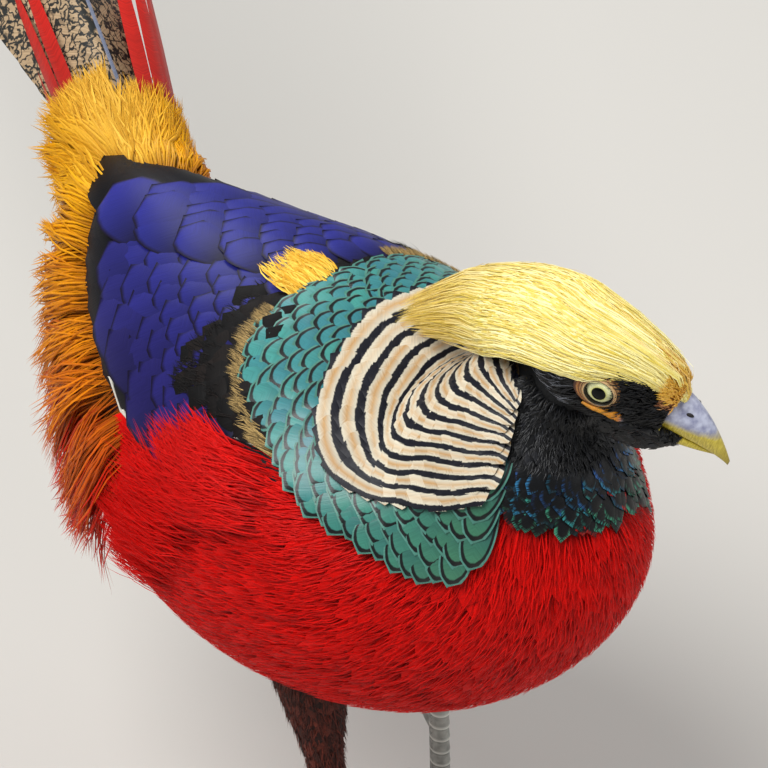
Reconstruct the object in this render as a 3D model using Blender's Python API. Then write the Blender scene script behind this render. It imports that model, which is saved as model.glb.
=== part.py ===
"""A male golden pheasant, life size, standing on both feet with its head and tail turned to its left.

Metres, +Z up. The bird faces -Y, its left side is +X, and the floor is z = 0. One loft carries the
skin from the back of the head to the root of the tail, and every feather is laid on it by its
station, 0 in the head to 9 at the tail, and by its angle down from the middle of the back.
"""

import math
from functools import partial

import bmesh
import bpy
from mathutils import Matrix, Vector
from mathutils.kdtree import KDTree

for old in list(bpy.data.objects):
    bpy.data.objects.remove(old, do_unlink=True)

# The gap between two nodes that touch, and how much wider each new try of a cut is
GAP, WIDER = 0.0003, 0.000013

# Body line, from inside the head to the root of the tail: middle x, y, z, half width, rise and drop
BODY_LINE = (
    (0.0280, -0.0930, 0.2500, 0.0130, 0.0140, 0.0140),  # inside the head
    (0.0250, -0.0860, 0.2390, 0.0180, 0.0170, 0.0190),  # top of the neck
    (0.0240, -0.0810, 0.2230, 0.0290, 0.0230, 0.0330),  # middle of the neck
    (0.0245, -0.0710, 0.2010, 0.0462, 0.0335, 0.0555),  # crop
    (0.0180, -0.0435, 0.1830, 0.0618, 0.0445, 0.0715),  # shoulders and breast
    (0.0080, -0.0060, 0.1750, 0.0632, 0.0515, 0.0785),  # middle of the trunk
    (0.0020, 0.0330, 0.1770, 0.0560, 0.0470, 0.0780),  # loins
    (0.0010, 0.0660, 0.1835, 0.0405, 0.0360, 0.0610),  # hips
    (0.0045, 0.0940, 0.1910, 0.0255, 0.0230, 0.0330),  # rump
    (0.0105, 0.1150, 0.1965, 0.0135, 0.0115, 0.0130),  # root of the tail
)
BACK_AND_UP = Vector((0.0, 0.6, 0.8))
NECK_TOP, NECK_CUT, RUMP_CUT, BODY_END = 0.55, 2.70, 6.60, 9.00
CUT_HALF_WIDTH, PAST_BODY_END = 0.0075, 0.025
TORSO_RINGS, BODY_COUNT, AXIS_STEP = 8, 20, 0.6

# Feathers: how thick they are, and how deep their roots are sunk
VANE, LOCK = 0.0007, 0.0010

# Head: the point between the eyes, the way that the bill points, and sizes measured along the head
EYES_MIDDLE = Vector((0.0330, -0.1080, 0.2580))
HEAD_YAW, HEAD_DIP = math.radians(37), math.radians(21)
EYE_RADIUS, EYE_OUT = 0.0058, 0.0082
LID_OUT, LID_RADIUS, LID_THICK = 0.0122, 0.0056, 0.0012
HEAD_LINE = (  # forward of the eyes, up, half width, rise, drop
    (-0.0215, 0.0015, 0.0050, 0.0055, 0.0050),
    (-0.0190, 0.0010, 0.0095, 0.0115, 0.0105),
    (-0.0110, 0.0005, 0.0130, 0.0155, 0.0150),
    (0.0000, 0.0000, 0.0130, 0.0155, 0.0155),
    (0.0090, -0.0010, 0.0108, 0.0130, 0.0125),
    (0.0165, -0.0025, 0.0080, 0.0095, 0.0085),
    (0.0205, -0.0035, 0.0062, 0.0075, 0.0066),
)
BILL_BASE, BILL_LENGTH, BILL_HALF_WIDTH, BILL_RISE = 0.0203, 0.0195, 0.0058, 0.0050
MOUTH_LEVEL, MOUTH_FALL, BILL_TIP_LEVEL, LOWER_BILL_DEPTH = -0.0075, 0.0030, -0.0118, 0.0040
NOSTRIL_AT, NOSTRIL_SIZE = (0.0248, 0.0050, 0.0004), (0.0022, 0.0016, 0.0009)
LAPPET = ((-0.0030, 0.0118, -0.0060), (0.0040, 0.0118, -0.0085), (0.0105, 0.0112, -0.0105))
CREST_HOOPS = (  # on the head: forward and up of the hoop's foot, half width, height
    (0.0190, 0.0010, 0.0062, 0.0055),
    (0.0120, 0.0050, 0.0100, 0.0070),
    (0.0000, 0.0065, 0.0132, 0.0100),
    (-0.0140, 0.0055, 0.0138, 0.0135),
)
NAPE_HOOPS = (  # behind it: x, y, z of the hoop's foot, half width, height
    (0.0250, -0.0900, 0.2700, 0.0136, 0.0115),
    (0.0235, -0.0760, 0.2600, 0.0128, 0.0130),
    (0.0205, -0.0560, 0.2450, 0.0112, 0.0135),
    (0.0140, -0.0330, 0.2300, 0.0070, 0.0050),
)
CREST_LOCKS, CREST_ROWS = 9, (1.0, 2.2, 3.4, 4.7)

# Tail: its root, the way that it leaves the rump, its droop, and the length of each pair of feathers
TAIL_ROOT = Vector((0.0110, 0.1165, 0.2000))
TAIL_YAW, TAIL_RISE, TAIL_DROOP = math.radians(12), math.radians(19), math.radians(34)
TAIL_PAIRS = (0.720, 0.520, 0.400, 0.320, 0.262, 0.218, 0.182, 0.152, 0.128)
TAIL_STOPS = (0.0, 0.030, 0.075, 0.130, 0.200, 0.290, 0.390, 0.500, 0.610, 0.720)
TAIL_WIDTH, TAIL_SLOPE, TAIL_STACK, TAIL_THICK = 0.037, 0.90, 0.00102, 0.00064
TAIL_CORE = ((0.0, 0.98, 0.95, 0.95), (0.012, 0.90, 0.85, 0.95), (0.030, 0.60, 0.45, 0.70))

# Legs: x and y of the knee, the heel joint and the foot, and the heights that both legs share
HEEL_HEIGHT, KNEE_HEIGHT, FOOT_HEIGHT = 0.080, 0.128, 0.0075
RIGHT_LEG = {"knee": (-0.0205, -0.0280), "heel": (-0.0180, -0.0370), "foot": (-0.0205, -0.0160)}
LEFT_LEG = {"knee": (0.0465, 0.0000), "heel": (0.0500, 0.0060), "foot": (0.0480, 0.0000)}
SHANK_HALF_WIDTH, SHANK_HALF_DEPTH, SCUTES, SCUTE_STEP = 0.0031, 0.0039, 10, 0.00045
TOES = {"inner": (-38, 0.030), "middle": (0, 0.041), "outer": (36, 0.033), "hind": (176, 0.015)}
TOE_RADIUS, CLAW_LENGTH, CLAW_RADIUS = 0.0034, 0.0095, 0.0019

FINISHES = {  # colour and roughness of each material
    "face": ((0.02, 0.02, 0.025), 0.7),
    "eye": ((0.62, 0.62, 0.30), 0.12),
    "bill": ((0.45, 0.42, 0.38), 0.4),
    "cape": ((0.83, 0.62, 0.33), 0.7),
    "red_plumage": ((0.62, 0.02, 0.01), 0.75),
    "gold_plumage": ((0.85, 0.42, 0.02), 0.7),
    "tail": ((0.36, 0.22, 0.12), 0.7),
    "wing": ((0.04, 0.04, 0.22), 0.55),
    "thigh": ((0.22, 0.05, 0.02), 0.75),
    "shank": ((0.42, 0.42, 0.38), 0.5),
    "claw": ((0.25, 0.20, 0.14), 0.4),
}


def material(name):
    """A plain Principled material."""
    colour, roughness = FINISHES[name]
    made = bpy.data.materials.new(name)
    made.use_nodes = True
    shader = made.node_tree.nodes["Principled BSDF"]
    shader.inputs["Base Color"].default_value = (*colour, 1.0)
    shader.inputs["Roughness"].default_value = roughness
    shader.inputs["Metallic"].default_value = 0.0
    return made


def smooth_row(rows, t):
    """The row at t, on a smooth curve through the rows."""
    t = min(max(t, 0.0), len(rows) - 1.0)
    i = min(int(t), len(rows) - 2)
    f = t - i
    before, a, b, after = (rows[min(max(k, 0), len(rows) - 1)] for k in (i - 1, i, i + 1, i + 2))
    row = []
    for p, q, r, s in zip(before, a, b, after):
        slope_q = (r - p) / 2 if i > 0 else r - q
        slope_r = (s - q) / 2 if i < len(rows) - 2 else r - q
        row.append(
            (2 * f**3 - 3 * f**2 + 1) * q
            + (f**3 - 2 * f**2 + f) * slope_q
            + (3 * f**2 - 2 * f**3) * r
            + (f**3 - f**2) * slope_r
        )
    return row


def body_axes(station):
    """Middle, left, up and tailward directions of the body there, and its half width, rise and drop."""
    row = smooth_row(BODY_LINE, station)
    ahead, behind = (Vector(smooth_row(BODY_LINE, station + d)[:3]) for d in (-AXIS_STEP, AXIS_STEP))
    tailward = (behind - ahead).normalized()
    up = (BACK_AND_UP - tailward * BACK_AND_UP.dot(tailward)).normalized()
    return Vector(row[:3]), tailward.cross(up), up, tailward, row[3:]


def skin(station, down):
    """A point of the skin. down is 0 on the back, 90 on the bird's right, -90 on its left, in degrees."""
    middle, left, up, tailward, (half, rise, drop) = body_axes(min(station, BODY_END))
    turn = math.radians(90 + down)
    height = rise if math.sin(turn) > 0 else drop
    middle += tailward * max(station - BODY_END, 0.0) * PAST_BODY_END
    return middle + left * half * math.cos(turn) + up * height * math.sin(turn)


def skin_out(station, down):
    """The direction out of the skin there."""
    station = min(station, BODY_END - 0.02)
    across = skin(station, down + 1) - skin(station, down - 1)
    along = skin(station + 0.02, down) - skin(max(station - 0.02, 0.0), down)
    out = across.cross(along).normalized()
    return out if out.dot(skin(station, down) - body_axes(station)[0]) > 0 else -out


def closed_tube(rings):
    """A closed mesh through rings of points, with a fan at each end."""
    count = len(rings[0])
    points = [point for ring in rings for point in ring]
    faces = []
    for i in range(len(rings) - 1):
        for j in range(count):
            a, b = i * count + j, i * count + (j + 1) % count
            faces += [(a, b, b + count), (a, b + count, a + count)]
    last = (len(rings) - 1) * count
    for j in range(1, count - 1):
        faces += [(0, j + 1, j), (last, last + j, last + j + 1)]
    return points, faces


def shell(upper, lower):
    """A closed sheet between two grids of points, with both split into triangles alike."""
    rows, columns = len(upper), len(upper[0])
    size = rows * columns
    points = [point for sheet in (upper, lower) for row in sheet for point in row]
    faces = []
    for i in range(rows - 1):
        for j in range(columns - 1):
            a, c = i * columns + j, (i + 1) * columns + j
            b, d = a + 1, c + 1
            faces += [(a, b, d), (a, d, c), (size + a, size + d, size + b), (size + a, size + c, size + d)]
    rim = [j for j in range(columns - 1)]
    rim += [i * columns + columns - 1 for i in range(rows - 1)]
    rim += [(rows - 1) * columns + j for j in range(columns - 1, 0, -1)]
    rim += [i * columns for i in range(rows - 1, 0, -1)]
    for a, b in zip(rim, rim[1:] + rim[:1]):
        faces += [(a, size + b, b), (a, size + a, size + b)]
    return points, faces


def oval(middle, left, up, half, rise, drop, count):
    """A ring of points round middle, wider or deeper on each side as given."""
    ring = []
    for j in range(count):
        turn = 2 * math.pi * j / count
        height = rise if math.sin(turn) > 0 else drop
        ring.append(middle + left * half * math.cos(turn) + up * height * math.sin(turn))
    return ring


def body_tube(start, end, rings, count, grow=0.0):
    """The body's own form between two stations."""
    made = []
    for i in range(rings + 1):
        middle, left, up, tailward, (half, rise, drop) = body_axes(start + (end - start) * i / rings)
        middle += tailward * grow * ((i == rings) - (i == 0))
        made.append(oval(middle, left, up, half + grow, rise + grow, drop + grow, count))
    return closed_tube(made)


def blade(rows, outs, thick, grow=0.0):
    """A thin closed sheet through rows of points across a feather, from its root to its tip."""
    last = len(rows) - 1
    middles = [(row[0] + row[-1]) / 2 for row in rows]
    upper, lower = [], []
    for i, (row, out) in enumerate(zip(rows, outs)):
        along = (middles[min(i + 1, last)] - middles[max(i - 1, 0)]).normalized()
        side = (row[-1] - row[0]).normalized()
        half = thick * (0.6 if i == last else 1.0) / 2 + grow
        made = []
        for j, point in enumerate(row):
            sideways = grow * ((j == len(row) - 1) - (j == 0))
            made.append(point + side * sideways + along * grow * ((i == last) - (i == 0)))
        upper.append([point + out * half for point in made])
        lower.append([point - out * half for point in made])
    return shell(upper, lower)


def strand(path, outs, widths, thick, grow=0.0):
    """A lock or plume along a path."""
    rows, last = [], len(path) - 1
    for i, (point, out, width) in enumerate(zip(path, outs, widths)):
        along = path[min(i + 1, last)] - path[max(i - 1, 0)]
        side = along.cross(out).normalized() * width / 2
        rows.append([point - side, point + side])
    return blade(rows, outs, thick, grow)


def on_skin(place, lift):
    """A point that far above the skin at (station, down)."""
    return skin(*place) + skin_out(*place) * lift


def feather(place, form, lifts, thick=VANE, grow=0.0):
    """A vane on the skin. place(t, edge) is its (station, down) from root to tip and from edge to edge."""
    rows, outs = [], []
    for (t, share), lift in zip(form, lifts):
        rows.append([on_skin(place(t, edge * share), lift) for edge in (-0.94, 0.94)])
        outs.append(skin_out(*place(t, 0.0)))
    return blade(rows, outs, thick, grow)


def plume(root, tip, spread, lifts, grow=0.0):
    """A pointed lock on the skin, from root to tip as (station, down); spread is its width in degrees."""

    def place(t, edge):
        station, down = (a + (b - a) * t for a, b in zip(root, tip))
        return station, down + edge * spread / 2

    return feather(place, POINTED, lifts, LOCK, grow)


# Feather outlines: how far along, and the share of the full width there
ROUNDED = ((0.0, 0.45), (0.28, 0.80), (0.75, 1.0), (1.0, 0.55))
SQUARE = ((0.0, 0.55), (0.28, 0.80), (0.75, 1.0), (1.0, 0.90))
POINTED = ((0.0, 0.60), (0.30, 1.0), (0.70, 0.85), (1.0, 0.25))


def mesh_object(name, points, faces):
    """A mesh object whose faces point outwards."""
    mesh = bpy.data.meshes.new(name)
    mesh.from_pydata([tuple(p) for p in points], [], faces)
    work = bmesh.new()
    work.from_mesh(mesh)
    bmesh.ops.recalc_face_normals(work, faces=work.faces)
    if work.calc_volume(signed=True) < 0:
        bmesh.ops.reverse_faces(work, faces=work.faces)
    work.to_mesh(mesh)
    work.free()
    made = bpy.data.objects.new(name, mesh)
    bpy.context.scene.collection.objects.link(made)
    return made


def boolean(target, pieces, operation):
    """Joins pieces to target, or cuts them from it, in one Boolean, and removes them."""
    group = bpy.data.collections.new("operands")
    bpy.context.scene.collection.children.link(group)
    operands = [mesh_object("operand", *piece) for piece in pieces]
    for operand in operands:
        bpy.context.scene.collection.objects.unlink(operand)
        group.objects.link(operand)
    modifier = target.modifiers.new(operation.lower(), "BOOLEAN")
    modifier.operation = operation
    modifier.operand_type = "COLLECTION"
    modifier.collection = group
    modifier.solver = "MANIFOLD"
    bpy.context.view_layer.objects.active = target
    bpy.ops.object.modifier_apply(modifier=modifier.name)
    for operand in operands:
        bpy.data.objects.remove(operand, do_unlink=True)
    bpy.data.collections.remove(group)


def collapse_short_edges(work, dist=4e-5):
    """Merges the ends of edges shorter than dist, where that keeps the mesh closed."""
    again = True
    while again:
        again = False
        for edge in [e for e in work.edges if e.calc_length() < dist]:
            if not edge.is_valid:
                continue
            a, b = edge.verts
            shared = {e.other_vert(a) for e in a.link_edges} & {e.other_vert(b) for e in b.link_edges}
            if len(shared) == 2:
                bmesh.ops.pointmerge(work, verts=[a, b], merge_co=(a.co + b.co) / 2)
                again = True


def part_touching_points(work, step=4e-6):
    """Moves points that touch without an edge between them a hair into the solid."""
    tree = KDTree(len(work.verts))
    for i, vert in enumerate(work.verts):
        tree.insert(vert.co, i)
    tree.balance()
    work.verts.index_update()
    work.verts.ensure_lookup_table()
    work.normal_update()
    moves = {}
    for i, vert in enumerate(work.verts):
        linked = {e.other_vert(vert).index for e in vert.link_edges}
        for place, k, gap in tree.find_range(vert.co, 1e-6):
            if k != i and k not in linked:
                moves[i] = -vert.normal * step
    for i, move in moves.items():
        work.verts[i].co += move


def keep_largest(target):
    """Keeps only the largest closed surface, as triangles."""
    work = bmesh.new()
    work.from_mesh(target.data)
    bmesh.ops.triangulate(work, faces=work.faces)
    collapse_short_edges(work)
    part_touching_points(work)
    left, islands = set(work.verts), []
    while left:
        island, edge = set(), [left.pop()]
        while edge:
            vert = edge.pop()
            island.add(vert)
            for link in vert.link_edges:
                other = link.other_vert(vert)
                if other in left:
                    left.discard(other)
                    edge.append(other)
        islands.append(island)
    islands.sort(key=len)
    spare = [vert for island in islands[:-1] for vert in island]
    bmesh.ops.delete(work, geom=spare, context="VERTS")
    work.to_mesh(target.data)
    work.free()


def is_sound(target):
    """Whether each edge joins two faces, with points closer than half a thousandth of a millimetre merged."""
    work = bmesh.new()
    work.from_mesh(target.data)
    bmesh.ops.remove_doubles(work, verts=work.verts, dist=5e-7)
    sound = all(len(edge.link_faces) == 2 for edge in work.edges)
    work.free()
    return sound


def node(name, make, neighbours, finish):
    """One node: its pieces joined, then cut clear of its neighbours, a hair wider again if that fails."""
    for attempt in range(6):
        pieces = make(grow=0.0)
        made = mesh_object(name, *pieces[0])
        if pieces[1:]:
            boolean(made, pieces[1:], "UNION")
        cutters = [piece for other in neighbours for piece in other(grow=GAP + attempt * WIDER)]
        if cutters:
            boolean(made, cutters, "DIFFERENCE")
        keep_largest(made)
        if is_sound(made) or attempt == 5:
            break
        bpy.data.objects.remove(made, do_unlink=True)
    made.data.materials.clear()
    made.data.materials.append(finish)
    made.data.shade_smooth()
    made.data.set_sharp_from_angle(angle=math.radians(35))
    return made


# Head

HEAD_FORWARD = Vector(
    (
        math.sin(HEAD_YAW) * math.cos(HEAD_DIP),
        -math.cos(HEAD_YAW) * math.cos(HEAD_DIP),
        -math.sin(HEAD_DIP),
    )
)
HEAD_RIGHT = HEAD_FORWARD.cross(Vector((0, 0, 1))).normalized()
HEAD_UP = HEAD_RIGHT.cross(HEAD_FORWARD)


def on_head(forward, right, up):
    """A point given along the head's own directions from between the eyes."""
    return EYES_MIDDLE + HEAD_FORWARD * forward + HEAD_RIGHT * right + HEAD_UP * up


def ball(middle, sizes, rings, count, grow=0.0):
    """A closed egg whose half sizes lie forward, right and up of the head."""
    made = []
    for i in range(1, rings):
        turn = math.pi * i / rings
        ring = []
        for j in range(count):
            spin = 2 * math.pi * j / count
            forward = (sizes[0] + grow) * math.sin(turn) * math.cos(spin)
            right = (sizes[1] + grow) * -math.cos(turn)
            up = (sizes[2] + grow) * math.sin(turn) * math.sin(spin)
            ring.append(on_head(middle[0] + forward, middle[1] + right, middle[2] + up))
        made.append(ring)
    return closed_tube(made)


def eye(side, grow=0.0):
    """An eyeball. side is 1 on the bird's right and -1 on its left."""
    return [ball((0, side * EYE_OUT, 0), (EYE_RADIUS,) * 3, 8, 14, grow)]


def skull(grow=0.0):
    """The head's own form, from the nape to the bill."""
    rings, steps = [], 9
    for i in range(steps + 1):
        row = smooth_row(HEAD_LINE, i / steps * (len(HEAD_LINE) - 1))
        middle = on_head(row[0] + grow * ((i == steps) - (i == 0)), 0, row[1])
        rings.append(oval(middle, -HEAD_RIGHT, HEAD_UP, row[2] + grow, row[3] + grow, row[4] + grow, 16))
    return closed_tube(rings)


def lids(side, grow=0.0):
    """The ringed lids, as a band round the eye."""
    points, faces, around, across = [], [], 12, 4
    for i in range(around):
        turn = 2 * math.pi * i / around
        for j in range(across):
            roll = 2 * math.pi * j / across
            reach = LID_RADIUS + (LID_THICK + grow) * math.cos(roll)
            right = LID_OUT + (LID_THICK + grow) * math.sin(roll) - 0.12 * abs(math.cos(turn)) * reach
            right *= side
            points.append(on_head(reach * math.cos(turn), right, reach * math.sin(turn)))
    for i in range(around):
        for j in range(across):
            a, b = i * across + j, i * across + (j + 1) % across
            c, d = (a + across) % len(points), (b + across) % len(points)
            faces += [(a, b, d), (a, d, c)]
    return points, faces


def lappet(side, grow=0.0):
    """The small bare flap that hangs from under the eye."""
    path = [on_head(forward, side * right, up) for forward, right, up in LAPPET]
    return strand(path, [HEAD_RIGHT * side] * 3, (0.0022, 0.0038, 0.0026), 0.0024, grow)


def crest_point(back, spread, high=1.0):
    """A point of the crest and the way out there; back is the hoop, spread the angle from its top."""
    hoops = [(*on_head(f, 0, u), *size, *HEAD_UP) for f, u, *size in CREST_HOOPS]
    hoops += [(*row, *BACK_AND_UP) for row in NAPE_HOOPS]
    row = smooth_row(hoops, back)
    ahead, behind = (Vector(smooth_row(hoops, back + d)[:3]) for d in (-0.05, 0.05))
    up = Vector(row[5:])
    right = up.cross(behind - ahead).normalized()
    up = (behind - ahead).cross(right).normalized()
    turn = math.radians(spread)
    out = (right * math.sin(turn) + up * math.cos(turn)).normalized()
    return Vector(row[:3]) + right * row[3] * high * math.sin(turn) + up * row[4] * high * math.cos(turn), out


def crest_lock(order, grow=0.0):
    """One silky lock from the forehead or crown, back over the nape."""
    share = 2 * order / (CREST_LOCKS - 1) - 1
    start, end = 0.1 + 1.5 * share**2, (7.0, 6.4, 6.8)[order % 3] - 0.9 * share**2
    rows, outs = [], []
    for back in [start] + [hoop for hoop in CREST_ROWS if hoop > start + 0.5] + [end]:
        middle = 82 * share * (1 - 0.035 * back)
        width = 0.25 if back == end else 0.9 - 0.25 * (back == start)
        sunk = 0.62 if back == start else 1.0
        half = 82 / (CREST_LOCKS - 1) * width
        rows.append([crest_point(back, middle + half * edge, sunk)[0] for edge in (-1, 1)])
        outs.append(crest_point(back, middle)[1])
    return blade(rows, outs, 0.0012, grow)


def crest_core(grow=0.0):
    """The dense foot of the crest, below half of its height."""
    rings = []
    for back, high in ((0.9, 0.30), (2.0, 0.52), (3.0, 0.55), (4.2, 0.55), (5.4, 0.50)):
        ring = [crest_point(back, spread, high)[0] for spread in (-90, -45, 0, 45, 90)]
        foot = crest_point(back, 180, 0.35)[0]
        middle = (ring[0] + ring[-1]) / 2
        ends = (middle - crest_point(back - 0.1, 0, 0)[0]).normalized() * grow * ((back > 5) - (back < 1))
        rings.append([p + (p - middle).normalized() * grow + ends for p in ring + [foot]])
    return closed_tube(rings)


def head_pieces(grow=0.0):
    """The skull with its lids, lappets and crest."""
    pieces = [skull(grow), crest_core(grow)]
    for side in (1, -1):
        pieces += [lids(side, grow), lappet(side, grow)]
    return pieces + [crest_lock(i, grow) for i in range(CREST_LOCKS)]


def bill_half(upper, grow=0.0):
    """One half of the bill: a ridge that bends down to a hook, or the shorter trough under it."""
    rings, steps = [], 7
    reach = BILL_LENGTH if upper else BILL_LENGTH * 0.82
    for i in range(steps + 1):
        t = i / steps
        forward = BILL_BASE - 0.004 + (reach + 0.004) * t
        half = BILL_HALF_WIDTH * (1 - t**1.6) + 0.0007
        mouth = MOUTH_LEVEL - MOUTH_FALL * t**1.6
        if upper:
            top = BILL_RISE - (BILL_RISE - BILL_TIP_LEVEL) * (0.25 * t + 0.75 * t**2.2)
            low = mouth - 0.0024 * t**5
        else:
            top = mouth - 0.0003
            low = mouth - LOWER_BILL_DEPTH * (1 - t**1.8) - 0.0010
        middle, deep = (top + low) / 2, (top - low) / 2
        forward += grow * ((i == steps) - (i == 0))
        ring = []
        for j in range(8):
            turn = 2 * math.pi * (j + 0.5) / 8
            height = math.sin(turn) / math.sin(math.pi * 3 / 8)
            narrow = 1 - 0.38 * max(height if upper else -height, 0.0)
            side = -math.cos(turn) * (half + grow) * narrow * 1.08
            ring.append(on_head(forward, side, middle + height * (deep + grow)))
        rings.append(ring)
    return closed_tube(rings)


def upper_bill(grow=0.0):
    return [bill_half(True, grow)]


def lower_bill(grow=0.0):
    return [bill_half(False, grow)]


def nostrils(grow=0.0):
    forward, right, up = NOSTRIL_AT
    return [ball((forward, side * right, up), NOSTRIL_SIZE, 5, 8) for side in (1, -1)]


# Cape, mantle and back


def cape_place(across, share):
    """A place on the cape: across is -1 to 1 from left to right, share 0 at the face to 1 at its edge."""
    wide = 104 if across > 0 else 96
    face = (0.85 + 0.75 * across**2, 84 * across)
    edge = (4.05 - 1.85 * abs(across) ** 2.2, wide * across)
    return tuple(a + (b - a) * share for a, b in zip(face, edge))


CAPE_TIERS = ((11, 1.00, 0.44), (9, 0.74, 0.24), (7, 0.48, 0.05))  # count, tip and root as shares
CAPE_LIFTS = (-0.0022, 0.0034, 0.0056, 0.0064)


def cape_feathers(grow=0.0):
    """Tiers of square feathers that fan out from behind the face."""
    pieces = []
    for count, tip, root in CAPE_TIERS:
        for i in range(count):

            def place(t, edge):
                across = 0.96 * ((2 * i + 1 + edge) / count - 1)
                return cape_place(across, root + (tip - root) * t)

            pieces.append(feather(place, SQUARE, CAPE_LIFTS, grow=grow))
    return pieces


def neck_pieces(grow=0.0):
    return [body_tube(NECK_TOP, NECK_CUT - CUT_HALF_WIDTH, 6, BODY_COUNT, grow)] + cape_feathers(grow)


MANTLE_TIERS = ((13, 5.15, 0.0040), (12, 4.50, 0.0048))  # count, where the tips lie on the back, tip lift
MANTLE_WIDE, MANTLE_LONG = 122, 1.25


def mantle_feathers(grow=0.0):
    """The scaled feathers of the upper back, whose edge falls to the sides of the breast."""
    pieces = []
    for count, rear, lift in MANTLE_TIERS:
        for i in range(count):
            across = (2 * i + 1) / count - 1
            tip = rear - 2.05 * across**2
            root = max(tip - MANTLE_LONG, NECK_CUT + 0.15)
            if tip - root < 0.3:
                continue

            def place(t, edge):
                return root + (tip - root) * t, MANTLE_WIDE * (across + edge / count)

            lifts = (-0.0022, 0.0014, lift - 0.0004, lift)
            pieces.append(feather(place, ROUNDED, lifts, grow=grow))
    return pieces


BACK_FEATHERS = ((5.85, -9), (5.85, 9), (6.45, 0))  # station of the tip, angle


def back_feathers(grow=0.0):
    """The silky feathers that show between the wings."""
    pieces = []
    for tip, down in BACK_FEATHERS:
        pieces.append(plume((tip - 0.9, down), (tip, down), 12, (-0.0022, 0.0004, 0.0016, 0.0018), grow))
    return pieces


FLANK_PLUMES = (4.95, 5.25, 5.55, 5.85, 6.15)


def flank_plumes(grow=0.0):
    """Loose red plumes that lie up over the lower edge of each wing."""
    pieces = []
    for i, station in enumerate(FLANK_PLUMES):
        for side in (1, -1):
            root, tip = (station, side * 92), (station + 0.60, side * (73 - 4 * (i % 2)))
            pieces.append(plume(root, tip, 5.2, (-0.0022, 0.0040, 0.0075, 0.0085), grow))
    return pieces


def torso_pieces(grow=0.0):
    core = body_tube(NECK_CUT + CUT_HALF_WIDTH, RUMP_CUT - CUT_HALF_WIDTH, TORSO_RINGS, BODY_COUNT, grow)
    return [core] + mantle_feathers(grow) + back_feathers(grow) + flank_plumes(grow)



# Wings: stations and angles down from the middle of the back

WING_FRONT, PAD_RINGS, PAD_COLUMNS = 4.66, (4, 5, 6, 7, 8), (1, 2, 3, 4)
PAD_INNER, PAD_OUTER = 0.0004, 0.0023
WING_TIERS = (  # count, root station, tip as a share of the wing's own length there, tip lift
    (4, 6.35, 1.00, 0.0036),
    (5, 5.85, 0.76, 0.0046),
    (5, 5.35, 0.54, 0.0054),
    (5, 4.90, 0.34, 0.0056),
)
PRIMARIES = 3


def wing_rear(side, share):
    """The station where the folded wing ends, from its top edge at 0 to its bottom edge at 1."""
    longer = 0.45 if side < 0 else 0.0
    return 8.35 + longer * (1 - share) - 1.9 * share**2.4


def wing_down(side, share, station):
    """The angle of the wing's own line at that share and station; the lines spread towards the rear."""
    t = min(max((station - WING_FRONT) / (wing_rear(side, share) - WING_FRONT), 0.0), 1.0)
    front, rear = 21 + 48 * share, 7 + 69 * share
    return side * (front + (rear - front) * t)


def wing_pad(side, grow=0.0):
    """The folded arm, on the same lattice as the trunk's own facets so that the two lie face to face."""
    first, last = NECK_CUT + CUT_HALF_WIDTH, RUMP_CUT - CUT_HALF_WIDTH
    upper, lower = [], []
    for i in PAD_RINGS:
        outer, inner = [], []
        for j in PAD_COLUMNS:
            station = first + (last - first) * i / TORSO_RINGS
            down = j * 360 / BODY_COUNT
            station += grow * 35 * ((i == PAD_RINGS[-1]) - (i == PAD_RINGS[0]))
            down += math.degrees(grow / 0.05) * ((j == PAD_COLUMNS[-1]) - (j == PAD_COLUMNS[0]))
            rim = i == PAD_RINGS[0] or j in (PAD_COLUMNS[0], PAD_COLUMNS[-1])
            outer.append(on_skin((station, side * down), PAD_OUTER - (0.0008 if rim else 0.0) + grow))
            inner.append(on_skin((station, side * down), PAD_INNER - grow))
        upper.append(outer)
        lower.append(inner)
    return shell(upper, lower)


def wing_pieces(side, grow=0.0):
    """The pad of the folded wing and its feathers, in tiers, with the tips of the primaries lowest."""
    pieces = [wing_pad(side, grow)]
    for i in range(PRIMARIES):
        share = 0.94 - 0.10 * i
        root, tip = 6.2 + 0.1 * i, wing_rear(side, share) + 0.40
        ends = [(station, wing_down(side, share, station)) for station in (root, tip)]
        pieces.append(plume(*ends, 11, (0.0012, 0.0020, 0.0024, 0.0026), grow))
    for count, root, reach, lift in WING_TIERS:
        for i in range(count):
            middle = (i + 0.5) / count
            tip = WING_FRONT + (wing_rear(side, middle) - WING_FRONT) * reach
            base = min(root, tip - 0.6)

            def place(t, edge):
                station = base + (tip - base) * t
                return station, wing_down(side, middle + edge * 0.5 / count, station)

            lifts = (0.0014, 0.0014 + (lift - 0.0014) * 0.55, lift - 0.0004, lift)
            pieces.append(feather(place, ROUNDED, lifts, grow=grow))
    return pieces


# Rump and tail

RUMP_PLUMES = (12, 25, 38, 51, 64, 77, 90, 104)
LOW_PLUMES = (20, 40, 60, 80, 100)
LONG_PLUMES = (8, 26)
FLUFFED = {1: 1.0, -1: 0.4}  # how far the plumes stand out on each side
TAIL_COVERTS = (38, 58, 78)


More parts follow.
